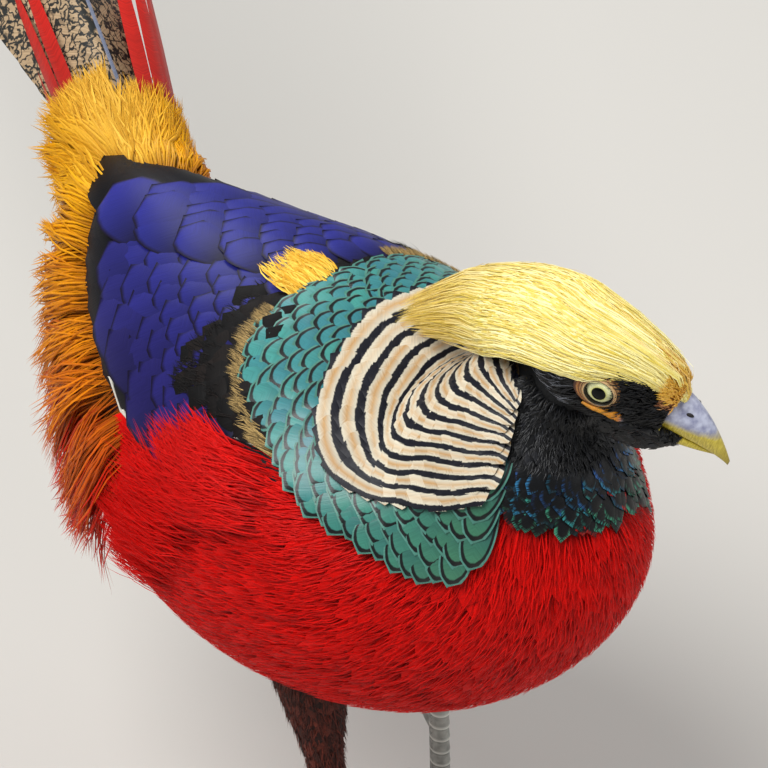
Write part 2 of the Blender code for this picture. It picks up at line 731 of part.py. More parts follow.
def rump_pieces(grow=0.0):
    """The rump with its long silky plumes, and the narrow red feathers beside the tail."""
    pieces = [body_tube(RUMP_CUT + CUT_HALF_WIDTH, BODY_END, 5, BODY_COUNT, grow)]
    for side in (1, -1):
        for i, down in enumerate(RUMP_PLUMES):
            root = max(wing_rear(side, min(down / 76, 1.0)) - 0.45, 6.75)
            ends = (root, side * down), (root + 1.75 + 0.2 * (i % 2), side * (down + 12))
            lifts = (-0.0022, 0.0016, 0.0120 * FLUFFED[side], 0.0200 * FLUFFED[side])
            pieces.append(plume(*ends, 12.5, lifts, grow))
        for i, down in enumerate(LOW_PLUMES):
            root = max(wing_rear(side, min(down / 76, 1.0)), 7.30)
            ends = (root, side * down), (root + 1.85 - 0.2 * (i % 2), side * (down + 10))
            lifts = (-0.0022, 0.0018, 0.0050 * FLUFFED[side] + 0.0010, 0.0090 * FLUFFED[side])
            pieces.append(plume(*ends, 12.5, lifts, grow))
        for down in LONG_PLUMES:
            ends = (8.45, side * down), (11.3, side * down)
            pieces.append(plume(*ends, 17, (-0.0022, 0.0036, 0.0060, 0.0085), grow))
        for down in TAIL_COVERTS:
            ends = (8.30, side * down), (12.6 - down * 0.010, side * down)
            pieces.append(plume(*ends, 18, (-0.0022, 0.0032, 0.0048, 0.0050), grow))
    return pieces


def tail_stop(order):
    """Point and up of the tail's own line at one of its stops, as it rises from the rump and then droops."""
    point, way = TAIL_ROOT.copy(), Vector()
    left = Vector((math.cos(TAIL_YAW), -math.sin(TAIL_YAW), 0))
    forward = Vector((math.sin(TAIL_YAW), math.cos(TAIL_YAW), 0))
    for i in range(order + 1):
        rise = TAIL_RISE - TAIL_DROOP * (TAIL_STOPS[i] / TAIL_STOPS[-1]) ** 1.2
        way = forward * math.cos(rise) + Vector((0, 0, math.sin(rise)))
        if i < order:
            point += way * (TAIL_STOPS[i + 1] - TAIL_STOPS[i])
    return point, left.cross(way)


def tail_place(along, x, depth):
    """A point of the tail's roof-shaped form, x to the left of its ridge and depth under its surface."""
    order = max(i for i, stop in enumerate(TAIL_STOPS[:-1]) if stop <= along)
    t = (along - TAIL_STOPS[order]) / (TAIL_STOPS[order + 1] - TAIL_STOPS[order])
    (a, up_a), (b, up_b) = tail_stop(order), tail_stop(order + 1)
    left = Vector((math.cos(TAIL_YAW), -math.sin(TAIL_YAW), 0))
    up = up_a.lerp(up_b, t)
    return a.lerp(b, t) + left * x + up * (0.0080 - TAIL_SLOPE * abs(x) - depth), up


def tail_feather(pair, side, grow=0.0):
    """One tail feather; each lies just under those of the pairs before it, and none cross."""
    length, depth, rows, outs = TAIL_PAIRS[pair], TAIL_STACK * (2 * pair + (side > 0)), [], []
    for stop in [stop for stop in TAIL_STOPS if stop < length * 0.90] + [length]:
        share = stop / length
        width = TAIL_WIDTH * (1 - 0.06 * pair) * min(1.0, 0.25 + 6.0 * stop) * (1 - 0.30 * share)
        width *= 0.30 if stop == length else 1.0
        spread = 0.0009 * pair + stop * math.tan(math.radians(0.14 * pair**1.3))
        if pair == 0:
            across = [-0.35 * width, 0.0, 0.65 * width]
        else:
            across = [spread, spread + width]
        across = [x * -side for x in across]
        if side > 0:
            across.reverse()
        rows.append([tail_place(stop, x, depth)[0] for x in across])
        outs.append(tail_place(stop, 0, depth)[1])
    return blade(rows, outs, TAIL_THICK, grow)


def tail_core(grow=0.0):
    """The fleshy root that holds the tail feathers."""
    middle, left, up, tailward, (half, rise, drop) = body_axes(BODY_END)
    rings = []
    for back, wide, high, low in TAIL_CORE:
        ends = grow * ((back > 0.02) - (back == 0.0))
        place = middle + tailward * (back + ends)
        rings.append(oval(place, left, up, half * wide + grow, rise * high + grow, drop * low + grow, 10))
    return closed_tube(rings)


def tail_pieces(grow=0.0):
    pieces = [tail_core(grow)]
    for pair in range(len(TAIL_PAIRS)):
        pieces += [tail_feather(pair, side, grow) for side in (1, -1)]
    return pieces



# Legs


def leg_points(leg):
    """Knee, heel and foot of a leg."""
    heights = {"knee": KNEE_HEIGHT, "heel": HEEL_HEIGHT, "foot": FOOT_HEIGHT}
    return [Vector((*leg[joint], heights[joint])) for joint in ("knee", "heel", "foot")]


def limb(start, end, radii, count, grow=0.0):
    """A straight limb whose half width and half depth change along it, in equal steps."""
    along = (end - start).normalized()
    left = (Vector((1, 0, 0)) - along * along.x).normalized()
    back = along.cross(left)
    rings = []
    for i, (half, deep) in enumerate(radii):
        place = start.lerp(end, i / (len(radii) - 1))
        place += along * grow * ((i == len(radii) - 1) - (i == 0))
        rings.append(oval(place, left, back, half + grow, deep + grow, deep + grow, count))
    return closed_tube(rings)


THIGH_RADII = ((0.0110, 0.0150), (0.0105, 0.0130), (0.0085, 0.0100), (0.0064, 0.0074), (0.0046, 0.0052))


def thigh_pieces(leg, grow=0.0):
    """The feathered thigh, which hangs from the belly to just above the heel."""
    knee, heel, foot = leg_points(leg)
    return [limb(knee, heel.lerp(knee, 0.06), THIGH_RADII, 12, grow)]


SPUR_RADII = ((0.0021, 0.0021), (0.0012, 0.0012), (0.0004, 0.0004))


def shank_pieces(leg, grow=0.0):
    """The scaled shank: overlapping plates down its front, and a spur behind."""
    knee, heel, foot = leg_points(leg)
    down = (foot - heel).normalized()
    left = (Vector((1, 0, 0)) - down * down.x).normalized()
    front = left.cross(down)
    front = front if front.y < 0 else -front
    stops = [(-0.06, -0.0004)]
    for i in range(SCUTES):
        stops += [(i / SCUTES, 0.0), ((i + 0.93) / SCUTES, SCUTE_STEP)]
    rings = []
    for t, raised in stops + [(1.0, 0.0)]:
        swell = 1 + 0.30 * math.exp(-((t / 0.09) ** 2)) + 0.25 * max(t - 0.85, 0.0) / 0.15
        half, deep = SHANK_HALF_WIDTH * swell + grow, SHANK_HALF_DEPTH * swell + grow
        place = heel.lerp(foot, t) + down * grow * ((t == 1.0) - (t < 0))
        rings.append(oval(place, left, front, half, deep + raised, deep, 8))
    spur = heel.lerp(foot, 0.62) - front * SHANK_HALF_DEPTH * 0.5
    tip = spur - front * 0.0095 + Vector((0, 0, 0.0025))
    return [closed_tube(rings), limb(spur, tip, SPUR_RADII, 6, grow)]


def toe_direction(leg, toe):
    """Which way a toe points, in plan, and how long it is."""
    turn, length = TOES[toe]
    angle = math.radians(-turn if leg is RIGHT_LEG else turn)
    return Vector((math.sin(angle), -math.cos(angle), 0)), length


def on_floor(ring, floor):
    """The ring with its low points raised to the floor, for a flat sole."""
    return [Vector((p.x, p.y, max(p.z, floor))) for p in ring]


def toe_piece(leg, toe, grow=0.0):
    """One toe from the ball of the foot, with a swelling at each joint and a flat sole."""
    foot = leg_points(leg)[2]
    way, length = toe_direction(leg, toe)
    left = Vector((-way.y, way.x, 0))
    rings, steps = [], 6
    for i in range(steps + 1):
        t = i / steps
        radius = TOE_RADIUS * (1 - 0.42 * t) * (1 + 0.08 * math.cos(3 * 2 * math.pi * t)) + grow
        height = TOE_RADIUS * (1 - 0.42 * t) * 0.80 + (FOOT_HEIGHT - TOE_RADIUS) * (1 - t) ** 3
        middle = Vector((foot.x, foot.y, height)) + way * (length * t + grow * ((i == steps) - (i == 0)))
        rings.append(on_floor(oval(middle, left, Vector((0, 0, 1)), radius, radius, radius, 8), -grow))
    return closed_tube(rings)


def foot_pieces(leg, grow=0.0):
    """The four toes of a foot and the pad that they share."""
    foot = leg_points(leg)[2]
    rings = []
    for radius, height in ((0.0058, 0.0), (0.0062, 0.003), (0.0048, FOOT_HEIGHT)):
        level = height + grow * ((height == FOOT_HEIGHT) - (height == 0.0))
        middle = Vector((foot.x, foot.y, level))
        size = radius + grow
        rings.append(oval(middle, Vector((1, 0, 0)), Vector((0, 1, 0)), size, size, size, 10))
    return [closed_tube(rings)] + [toe_piece(leg, toe, grow) for toe in TOES]


def claw_pieces(leg, toe, grow=0.0):
    """A claw, curved down to the floor."""
    foot = leg_points(leg)[2]
    way, length = toe_direction(leg, toe)
    left = Vector((-way.y, way.x, 0))
    rings, steps = [], 3
    for i in range(steps + 1):
        t = i / steps
        radius = CLAW_RADIUS * (1 - t) ** 0.8 + 0.0003 + grow
        height = 0.0024 + 0.0014 * math.sin(math.pi * t) - 0.0021 * t * t
        middle = Vector((foot.x, foot.y, height)) + way * (length - 0.0008 + CLAW_LENGTH * t)
        rings.append(on_floor(oval(middle, left, Vector((0, 0, 1)), radius, radius, radius, 5), 0.0))
    return [closed_tube(rings)]


def centre_on_floor():
    """Puts the middle of the whole bird's box over the origin, with the soles at z = 0."""
    made = [o for o in bpy.data.objects if o.type == "MESH"]
    corners = [v.co for o in made for v in o.data.vertices]
    low = [min(c[k] for c in corners) for k in range(3)]
    high = [max(c[k] for c in corners) for k in range(3)]
    shift = Matrix.Translation(Vector((-(low[0] + high[0]) / 2, -(low[1] + high[1]) / 2, -low[2])))
    for o in made:
        o.data.transform(shift)


def build():
    """Makes every node, each cut clear of those made before it."""
    finish = {name: material(name) for name in FINISHES}
    sides = (("right", 1, RIGHT_LEG), ("left", -1, LEFT_LEG))
    for side, sign, leg in sides:
        node(f"eye_{side}", partial(eye, sign), [], finish["eye"])
    node("head", head_pieces, [partial(eye, 1), partial(eye, -1)], finish["face"])
    node("bill_upper", upper_bill, [head_pieces, nostrils], finish["bill"])
    node("bill_lower", lower_bill, [head_pieces, upper_bill], finish["bill"])
    node("neck", neck_pieces, [head_pieces, lower_bill], finish["cape"])
    node("torso", torso_pieces, [neck_pieces], finish["red_plumage"])
    node("rump", rump_pieces, [torso_pieces], finish["gold_plumage"])
    trunk = [torso_pieces, rump_pieces, neck_pieces]
    for side, sign, leg in sides:
        node(f"wing_{side}", partial(wing_pieces, sign), trunk, finish["wing"])
    node("tail", tail_pieces, [rump_pieces, partial(wing_pieces, -1)], finish["tail"])
    for side, sign, leg in sides:
        node(f"thigh_{side}", partial(thigh_pieces, leg), [torso_pieces], finish["thigh"])
        node(f"shank_{side}", partial(shank_pieces, leg), [partial(thigh_pieces, leg)], finish["shank"])
        node(f"foot_{side}", partial(foot_pieces, leg), [partial(shank_pieces, leg)], finish["shank"])
        toes = [partial(foot_pieces, leg)]
        for toe in TOES:
            node(f"claw_{side}_{toe}", partial(claw_pieces, leg, toe), toes, finish["claw"])
    centre_on_floor()


build()
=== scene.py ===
# %% [markdown]
# # A male golden pheasant
# Every feather tract of the bird is laid over one skin. The tracts differ in three things only: the
# form of a single feather, the way it lies, and its colours. So this lesson builds a few helpers for
# laying feathers on a curved body, and then uses them tract by tract, from the tail to the face.

import math

import bpy
import numpy as np
from mathutils import Matrix, Vector
from mathutils.kdtree import KDTree


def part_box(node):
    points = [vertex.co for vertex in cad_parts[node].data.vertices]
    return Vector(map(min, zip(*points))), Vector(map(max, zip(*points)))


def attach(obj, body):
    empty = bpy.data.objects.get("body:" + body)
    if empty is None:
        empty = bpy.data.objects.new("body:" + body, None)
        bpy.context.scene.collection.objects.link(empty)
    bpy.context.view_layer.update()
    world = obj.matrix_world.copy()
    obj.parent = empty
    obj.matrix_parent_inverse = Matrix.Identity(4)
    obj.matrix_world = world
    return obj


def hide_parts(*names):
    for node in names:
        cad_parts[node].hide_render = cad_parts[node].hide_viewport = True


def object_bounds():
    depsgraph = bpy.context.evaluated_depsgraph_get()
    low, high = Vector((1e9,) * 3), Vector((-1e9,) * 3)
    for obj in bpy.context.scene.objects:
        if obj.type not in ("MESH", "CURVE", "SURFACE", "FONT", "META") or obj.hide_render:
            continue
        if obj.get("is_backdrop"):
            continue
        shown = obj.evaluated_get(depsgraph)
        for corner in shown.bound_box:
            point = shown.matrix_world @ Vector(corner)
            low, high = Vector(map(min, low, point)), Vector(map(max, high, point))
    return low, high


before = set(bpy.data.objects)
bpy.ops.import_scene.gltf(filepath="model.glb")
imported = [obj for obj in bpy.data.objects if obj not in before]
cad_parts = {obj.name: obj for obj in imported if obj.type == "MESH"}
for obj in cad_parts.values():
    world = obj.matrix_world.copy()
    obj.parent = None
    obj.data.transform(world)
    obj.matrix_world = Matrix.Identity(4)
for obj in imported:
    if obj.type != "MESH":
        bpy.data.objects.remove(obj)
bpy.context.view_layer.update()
bpy.ops.object.select_all(action="DESELECT")
rng = np.random.default_rng(41)
print("solids loaded:", len(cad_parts))

# %% [markdown]
# ## The body's line
# A bird's trunk is hard to model by pushing points about. It is easier to give ten cross sections,
# from inside the head to the root of the tail, and to let a smooth curve run through their numbers.
# Any place on the body is then two numbers: how far along, and how far round.

# %% Body line
BODY_LINE = (  # middle x, y, z, half width, rise, drop
    (0.0280, -0.0930, 0.2500, 0.0130, 0.0140, 0.0140),
    (0.0250, -0.0860, 0.2390, 0.0180, 0.0170, 0.0190),
    (0.0225, -0.0810, 0.2230, 0.0278, 0.0230, 0.0325),
    (0.0228, -0.0710, 0.2010, 0.0446, 0.0335, 0.0550),
    (0.0180, -0.0435, 0.1830, 0.0618, 0.0445, 0.0715),
    (0.0080, -0.0060, 0.1750, 0.0632, 0.0515, 0.0785),
    (0.0020, 0.0330, 0.1770, 0.0560, 0.0470, 0.0780),
    (0.0010, 0.0660, 0.1835, 0.0405, 0.0360, 0.0610),
    (0.0045, 0.0940, 0.1910, 0.0255, 0.0230, 0.0330),
    (0.0105, 0.1150, 0.1965, 0.0135, 0.0115, 0.0130),
)
BACK_AND_UP = np.array((0.0, 0.6, 0.8))
BODY_END, PAST_BODY_END, AXIS_STEP = 9.0, 0.025, 0.6
HOLLOW_DEPTH, HOLLOW_STATION, HOLLOW_LENGTH = 0.115, 2.5, 0.5  # where the neck turns to the left
HOLLOW_DOWN, HOLLOW_SPREAD = -106, 24


def unit(v):
    return v / np.maximum(np.linalg.norm(v, axis=-1, keepdims=True), 1e-12)


def dot(a, b):
    return (a * b).sum(-1)


def row_at(rows, t):
    """Rows at places t, on a smooth curve through the rows."""
    rows, last = np.asarray(rows, float), len(rows) - 1
    t = np.clip(np.asarray(t, float), 0, last)
    i = np.minimum(t.astype(int), last - 1)
    f = (t - i)[..., None]
    p, q, r, s = rows[np.maximum(i - 1, 0)], rows[i], rows[i + 1], rows[np.minimum(i + 2, last)]
    slope_q = np.where((i > 0)[..., None], (r - p) / 2, r - q)
    slope_r = np.where((i < last - 1)[..., None], (s - q) / 2, r - q)
    return (
        (2 * f**3 - 3 * f**2 + 1) * q
        + (f**3 - 2 * f**2 + f) * slope_q
        + (3 * f**2 - 2 * f**3) * r
        + (f**3 - f**2) * slope_r
    )


def on_oval(middle, left, up, half, rise, drop, down):
    """Points round an oval; down is 0 at its top and grows towards the bird's right side."""
    turn = np.radians(90 + down)
    height = np.where(np.sin(turn) > 0, rise, drop) * np.sin(turn)
    return middle + left * (half * np.cos(turn))[..., None] + up * height[..., None]


def body(station, down):
    """The trunk's surface: station 0 in the head to 9 at the tail, down 0 on the back, 90 on the right."""
    station, down = np.broadcast_arrays(np.asarray(station, float), np.asarray(down, float))
    inside = np.minimum(station, BODY_END)
    row = row_at(BODY_LINE, inside)
    step = row_at(BODY_LINE, inside + AXIS_STEP) - row_at(BODY_LINE, inside - AXIS_STEP)
    tailward = unit(step[..., :3])
    up = unit(BACK_AND_UP - tailward * dot(tailward, BACK_AND_UP)[..., None])
    middle = row[..., :3] + tailward * (np.maximum(station - BODY_END, 0) * PAST_BODY_END)[..., None]
    turned = (down + 180) % 360 - 180 - HOLLOW_DOWN
    away = ((station - HOLLOW_STATION) / HOLLOW_LENGTH) ** 2 + (turned / HOLLOW_SPREAD) ** 2
    hollow = 1 - HOLLOW_DEPTH * np.exp(-away)
    sizes = (row[..., 3] * hollow, row[..., 4] * hollow, row[..., 5] * hollow)
    return on_oval(middle + SHIFT, np.cross(tailward, up), up, *sizes, down)


def outward(form, a, b):
    """The direction out of a surface."""
    along = form(a + 0.02, b) - form(a - 0.02, b)
    across = form(a, b + 1.0) - form(a, b - 1.0)
    return unit(np.cross(along, across))


# %% [markdown]
# ## The head's directions
# The head is turned to the bird's left and dips a little. All its parts are measured forward, right
# and up from the point between the eyes. The solids were moved as a whole to stand over the origin,
# so the eye's place in them tells how far.

# %% Head directions
EYES_MIDDLE = np.array((0.0330, -0.1080, 0.2580))
HEAD_YAW, HEAD_DIP, EYE_OUT = math.radians(37), math.radians(21), 0.0082
LEVEL = math.cos(HEAD_DIP)
FORWARD = np.array((math.sin(HEAD_YAW) * LEVEL, -math.cos(HEAD_YAW) * LEVEL, -math.sin(HEAD_DIP)))
RIGHT = unit(np.cross(FORWARD, (0, 0, 1)))
UP = np.cross(RIGHT, FORWARD)
low, high = (np.array(corner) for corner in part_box("eye_right"))
SHIFT = (low + high) / 2 - (EYES_MIDDLE + RIGHT * EYE_OUT)
SHIFT[2] = 0.0
SIDES = (("right", 1), ("left", -1))
print("the solids were moved by", np.round(SHIFT * 1000, 2), "mm")


def on_head(forward, right, up):
    """A point measured from between the eyes."""
    forward, right, up = (np.asarray(v, float)[..., None] for v in (forward, right, up))
    return EYES_MIDDLE + SHIFT + FORWARD * forward + RIGHT * right + UP * up


HEAD_LINE = (  # forward of the eyes, up, half width, rise, drop
    (-0.0215, 0.0015, 0.0050, 0.0055, 0.0050),
    (-0.0190, 0.0010, 0.0095, 0.0115, 0.0105),
    (-0.0110, 0.0005, 0.0130, 0.0155, 0.0150),
    (0.0000, 0.0000, 0.0130, 0.0155, 0.0155),
    (0.0090, -0.0010, 0.0108, 0.0130, 0.0125),
    (0.0165, -0.0025, 0.0080, 0.0095, 0.0085),
    (0.0205, -0.0035, 0.0062, 0.0075, 0.0066),
)


def skull(hoop, down):
    """The head's surface: hoop 0 at the bill to 6 at the nape."""
    hoop, down = np.broadcast_arrays(np.asarray(hoop, float), np.asarray(down, float))
    row = row_at(HEAD_LINE, 6 - hoop)
    middle = on_head(row[..., 0], 0 * hoop, row[..., 1])
    return on_oval(middle, -RIGHT, UP, row[..., 2], row[..., 3], row[..., 4], down)


# %% [markdown]
# ## Laying one tract of feathers
# A contour feather follows the body, so a flat card stuck on at its root would cut into the skin.
# Here a feather's middle line is walked over the surface itself, and each point beside it is found
# by stepping sideways on that same surface. A feather is a closed, very thin body with an arched
# upper face. Thousands of separate objects would be slow, so a tract is one mesh made from arrays.

# %% Steps on a surface
def over(form, a, b, way):
    """How much a and b change for the surface step that is nearest to the vectors in way."""
    pa = (form(a + 0.02, b) - form(a - 0.02, b)) / 0.04
    pb = (form(a, b + 1.0) - form(a, b - 1.0)) / 2.0
    aa, ab, bb = dot(pa, pa), dot(pa, pb), dot(pb, pb)
    ra, rb = dot(pa, way), dot(pb, way)
    det = np.maximum(aa * bb - ab * ab, 1e-18)
    return (ra * bb - rb * ab) / det, (rb * aa - ra * ab) / det


def heading(form, a, b, veer):
    """Unit vectors along the surface: towards growing a, turned by veer degrees towards growing b."""
    along = unit(form(a + 0.02, b) - form(a - 0.02, b))
    side = unit(np.cross(outward(form, a, b), along)) * -1.0
    side *= np.sign(dot(side, form(a, b + 1.0) - form(a, b - 1.0)))[..., None]
    veer = np.radians(veer)
    return along * np.cos(veer)[..., None] + side * np.sin(veer)[..., None]


# %% Feather outlines
def vane_rows(count, blunt):
    """How far along each row lies, and the half width there: pointed at blunt 0, square at 1."""
    t = np.linspace(0, 1, count)
    t = t + 0.06 * np.sin(2 * np.pi * t)
    body_part = 0.45 + 0.55 * np.sin(np.clip(t / 0.55, 0, 1) * np.pi / 2)
    start = 0.25 + 0.55 * blunt
    tip = np.clip((t - start) / (1 - start), 0, 1)
    return t, body_part * np.sqrt(np.maximum(1 - tip**2.2, 0.0)) + 0.02


def rim_distance(t, x, blunt, half):
    """How far inside the outline a point lies, in metres."""
    start = 0.25 + 0.55 * blunt
    tip = np.clip((t - start) / (1 - start), 0, 1)
    return (1 - np.sqrt(np.minimum(x**2 * (1 - tip**2.2) + tip**2.2, 1.0))) * half


# %% A tract from arrays
VANE_THICKNESS, CREASE, MAP_PATCH = 0.0004, math.radians(40), 0.003
STRAND = {"blunt": 0.0, "columns": 3, "arch": 0.5}


def lay(name, form, a, b, width, lifts, finish, **shape):
    """One mesh of feathers. Each row of a and b holds the places that a feather passes, root to tip.

    lifts: height over the surface, root to tip. blunt or outline: its outline. rows, columns: faces.
    jitter: random lift, and stack: given lift. tilt: one edge higher than the other. arch: how round
    it is across. wave: wander of a loose strand. tract or field: a number for the finish to read.
    cells: one cell of the OFBake map for each feather.
    """
    blunt, rows = shape.get("blunt", 0.5), shape.get("rows", 6)
    columns, jitter = shape.get("columns", 5), shape.get("jitter", 0.0002)
    n = len(a)
    half = np.broadcast_to(width, n)[:, None] / 2
    t, shares = vane_rows(rows, blunt)
    if "outline" in shape:
        shares = shape["outline"](t)
    x = np.linspace(-1, 1, columns)
    centre_a, centre_b = (row_at(v.T, t * (v.shape[1] - 1)).T for v in (a, b))
    middle = form(centre_a, centre_b)
    along = unit(np.gradient(middle, axis=1))
    out = outward(form, centre_a, centre_b)
    side = unit(np.cross(along, out))
    bend = np.zeros((n, rows))
    if "wave" in shape:
        phase, turns = rng.uniform(0, 6.28, (n, 1)), rng.uniform(0.5, 1.3, (n, 1))
        bend = shape["wave"] * np.sin(phase + turns * 6.28 * t) * t
    across = (half * shares)[..., None] * x
    sa, sb = over(form, centre_a, centre_b, side)
    point_a = centre_a[..., None] + sa[..., None] * (across + bend[..., None])
    point_b = centre_b[..., None] + sb[..., None] * (across + bend[..., None])
    lifts = np.atleast_2d(lifts)
    lift = np.stack([np.interp(t, np.linspace(0, 1, len(row)), row) for row in lifts])
    lift = lift + rng.normal(0, jitter, (n, 1)) * t + shape.get("stack", np.zeros(1))[:, None]
    arch = shape.get("arch", 0.10) * (half * shares)[..., None] * (1 - x**2)
    lift = lift[..., None] + shape.get("tilt", 0.0) * x * t[:, None] + arch
    normal = outward(form, point_a, point_b)
    rings = form(point_a, point_b) + normal * lift[..., None]
    if columns > 3:
        mid = columns // 2
        under = rings[:, :, mid] - normal[:, :, mid] * VANE_THICKNESS
        rings = np.concatenate((rings, under[:, :, None]), axis=2)
        x = np.append(x, 0.0)
        across = np.concatenate((across, 0 * bend[..., None]), axis=2)
        point_a, point_b = (np.concatenate((v, v[:, :, mid : mid + 1]), 2) for v in (point_a, point_b))
    steps = np.linalg.norm(np.diff(middle, axis=1), axis=-1)
    run = np.concatenate((np.zeros((n, 1)), np.cumsum(steps, axis=1)), 1)
    quill = np.empty(rings.shape)
    quill[..., 0], quill[..., 1] = across, run[..., None]
    quill[..., 2] = rng.uniform(0, 1, n)[:, None, None]
    field = np.empty(rings.shape)
    if "outline" in shape:
        field[..., 0] = (half * shares)[..., None] * (1 - np.abs(x))
    else:
        field[..., 0] = rim_distance(t[None, :, None], x, blunt, half[..., None])
    field[..., 1] = t[None, :, None]
    if "field" in shape:
        field[..., 2] = shape["field"](point_a, point_b)
    else:
        field[..., 2] = np.broadcast_to(shape.get("tract", 0.0), n)[:, None, None]
    patch = MAP_PATCH
    corner = np.stack((b[:, 0] / 360 % 1.0, np.clip(a[:, 0] / 13, 0, 1)), 1) * (1 - patch)
    if shape.get("cells"):
        wide = int(math.ceil(math.sqrt(n)))
        patch = 0.94 / wide
        corner = np.stack((np.arange(n) % wide, np.arange(n) // wide), 1) / wide
    spot = np.stack(np.broadcast_arrays((x / 2 + 0.5)[None, None], t[None, :, None]), -1)
    spot = corner[:, None, None] + patch * spot
    return feather_mesh(name, rings, quill, field, spot, finish)


def reach(form, a, b, veer, length):
    """Control points of feathers of that length, rooted at (a, b) and turned by veer degrees."""
    veer, length = np.broadcast_to(veer, len(a)), np.broadcast_to(length, len(a))
    da, db = over(form, a, b, heading(form, a, b, veer))
    return np.stack((a, a + da * length), 1), np.stack((b, b + db * length), 1)


def combed(form, a, b, stray, lengths):
    """Feathers that run back from their roots, each turned by chance by about stray degrees."""
    return reach(form, a, b, rng.normal(0, stray, len(a)), rng.uniform(*lengths, len(a)))


def merged(*groups):
    """Several groups of feathers put together."""
    return (np.concatenate(v) for v in zip(*groups))


def shingles(form, stops, low_edge, high_edge, gap):
    """Roots in staggered rows: a at each stop, b from low_edge to high_edge, gap metres apart."""
    rooted = []
    for i, stop in enumerate(stops):
        first, last = low_edge(stop), high_edge(stop)
        if last > first:
            arc = form(stop, np.linspace(first, last, 24))
            count = max(int(np.linalg.norm(np.diff(arc, axis=0), axis=-1).sum() / gap), 1)
            share = (np.arange(count) + 0.5 * (i % 2) + 0.25 + rng.uniform(-0.18, 0.18, count)) / count
            a = stop + rng.uniform(-0.35, 0.35, count) * (stops[1] - stops[0])
            rooted.append(np.stack((a, first + (last - first) * share), 1))
    rooted = np.concatenate(rooted)
    return rooted[:, 0], rooted[:, 1]


def scatter(count, a_range, b_range):
    """Random roots in a block."""
    return rng.uniform(*a_range, count), rng.uniform(*b_range, count)


def split(a, b, strands, spread_a, spread_b, gather=0.6):
    """Each feather split into loose strands, which start apart and gather at its tip."""
    share = 1 - gather * np.linspace(0, 1, a.shape[1])
    off_a, off_b = rng.normal(0, 1, (2, len(a), strands, 1))
    a = a[:, None] + off_a * spread_a * share
    b = b[:, None] + off_b * spread_b * share
    return a.reshape(-1, a.shape[-1]), b.reshape(-1, b.shape[-1])


# %% Mesh from rings
def feather_mesh(name, rings, quill, field, spot, finish):
    """Closed tubes through rings of points, with what the materials read stored on the points."""
    n, rows, k, _ = rings.shape
    start = (np.arange(n) * rows * k)[:, None, None]
    r, c = np.meshgrid(np.arange(rows - 1), np.arange(k), indexing="ij")
    here, beside = r * k + c, r * k + (c + 1) % k
    quads = np.stack((here, beside, beside + k, here + k), -1).reshape(1, -1, 4) + start
    caps = np.stack((np.arange(k)[::-1], (rows - 1) * k + np.arange(k)))[None] + start
    corners = np.concatenate((quads.reshape(n, -1), caps.reshape(n, -1)), 1)
    sizes = np.array([4] * ((rows - 1) * k) + [k, k])
    starts = np.concatenate(([0], np.cumsum(sizes)[:-1]))[None] + (np.arange(n) * sizes.sum())[:, None]
    mesh = bpy.data.meshes.new(name)
    mesh.vertices.add(n * rows * k)
    mesh.vertices.foreach_set("co", rings.astype(np.float32).ravel())
    mesh.loops.add(corners.size)
    mesh.loops.foreach_set("vertex_index", corners.astype(np.int32).ravel())
    mesh.polygons.add(starts.size)
    mesh.polygons.foreach_set("loop_start", starts.astype(np.int32).ravel())
    mesh.update(calc_edges=True)
    for key, values in (("quill", quill), ("field", field)):
        layer = mesh.attributes.new(key, "FLOAT_VECTOR", "POINT")
        layer.data.foreach_set("vector", values.astype(np.float32).ravel())
    spots = np.broadcast_to(spot, (n, rows, k, 2)).reshape(-1, 2)[corners.ravel()]
    mesh.uv_layers.new(name="OFBake").data.foreach_set("uv", spots.astype(np.float32).ravel())
    made = bpy.data.objects.new(name, mesh)
    bpy.context.scene.collection.objects.link(made)
    mesh.materials.append(finish)
    mesh.polygons.foreach_set("use_smooth", np.ones(len(mesh.polygons), bool))
    mesh.set_sharp_from_angle(angle=CREASE)
    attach(made, "root")
    print(f"{name}: {n} feathers, {int((sizes - 2).sum() * n)} triangles")
    return made


# %% [markdown]
# ## Finishes
# A feather's colour is pigment in fine barbs, so up close no vane is one flat colour: the barbs run
# out from the quill at a slant, each a little lighter or darker, and catch the light in lines. The
# finishes below share that barb pattern and differ in what is painted over it. The barbs of a
# real vane are about 0.3 mm apart. They are drawn 0.5 mm apart, so that they show in the render.
# One function adds every node, and a table gives each kind of node used here a plain word.

# %% Node helper
def linear(code):
    """An sRGB hex colour as the linear one that a shader takes."""
    parts = [int(code[i : i + 2], 16) / 255 for i in (1, 3, 5)]
    return (*[p / 12.92 if p <= 0.04045 else ((p + 0.055) / 1.055) ** 2.4 for p in parts], 1.0)


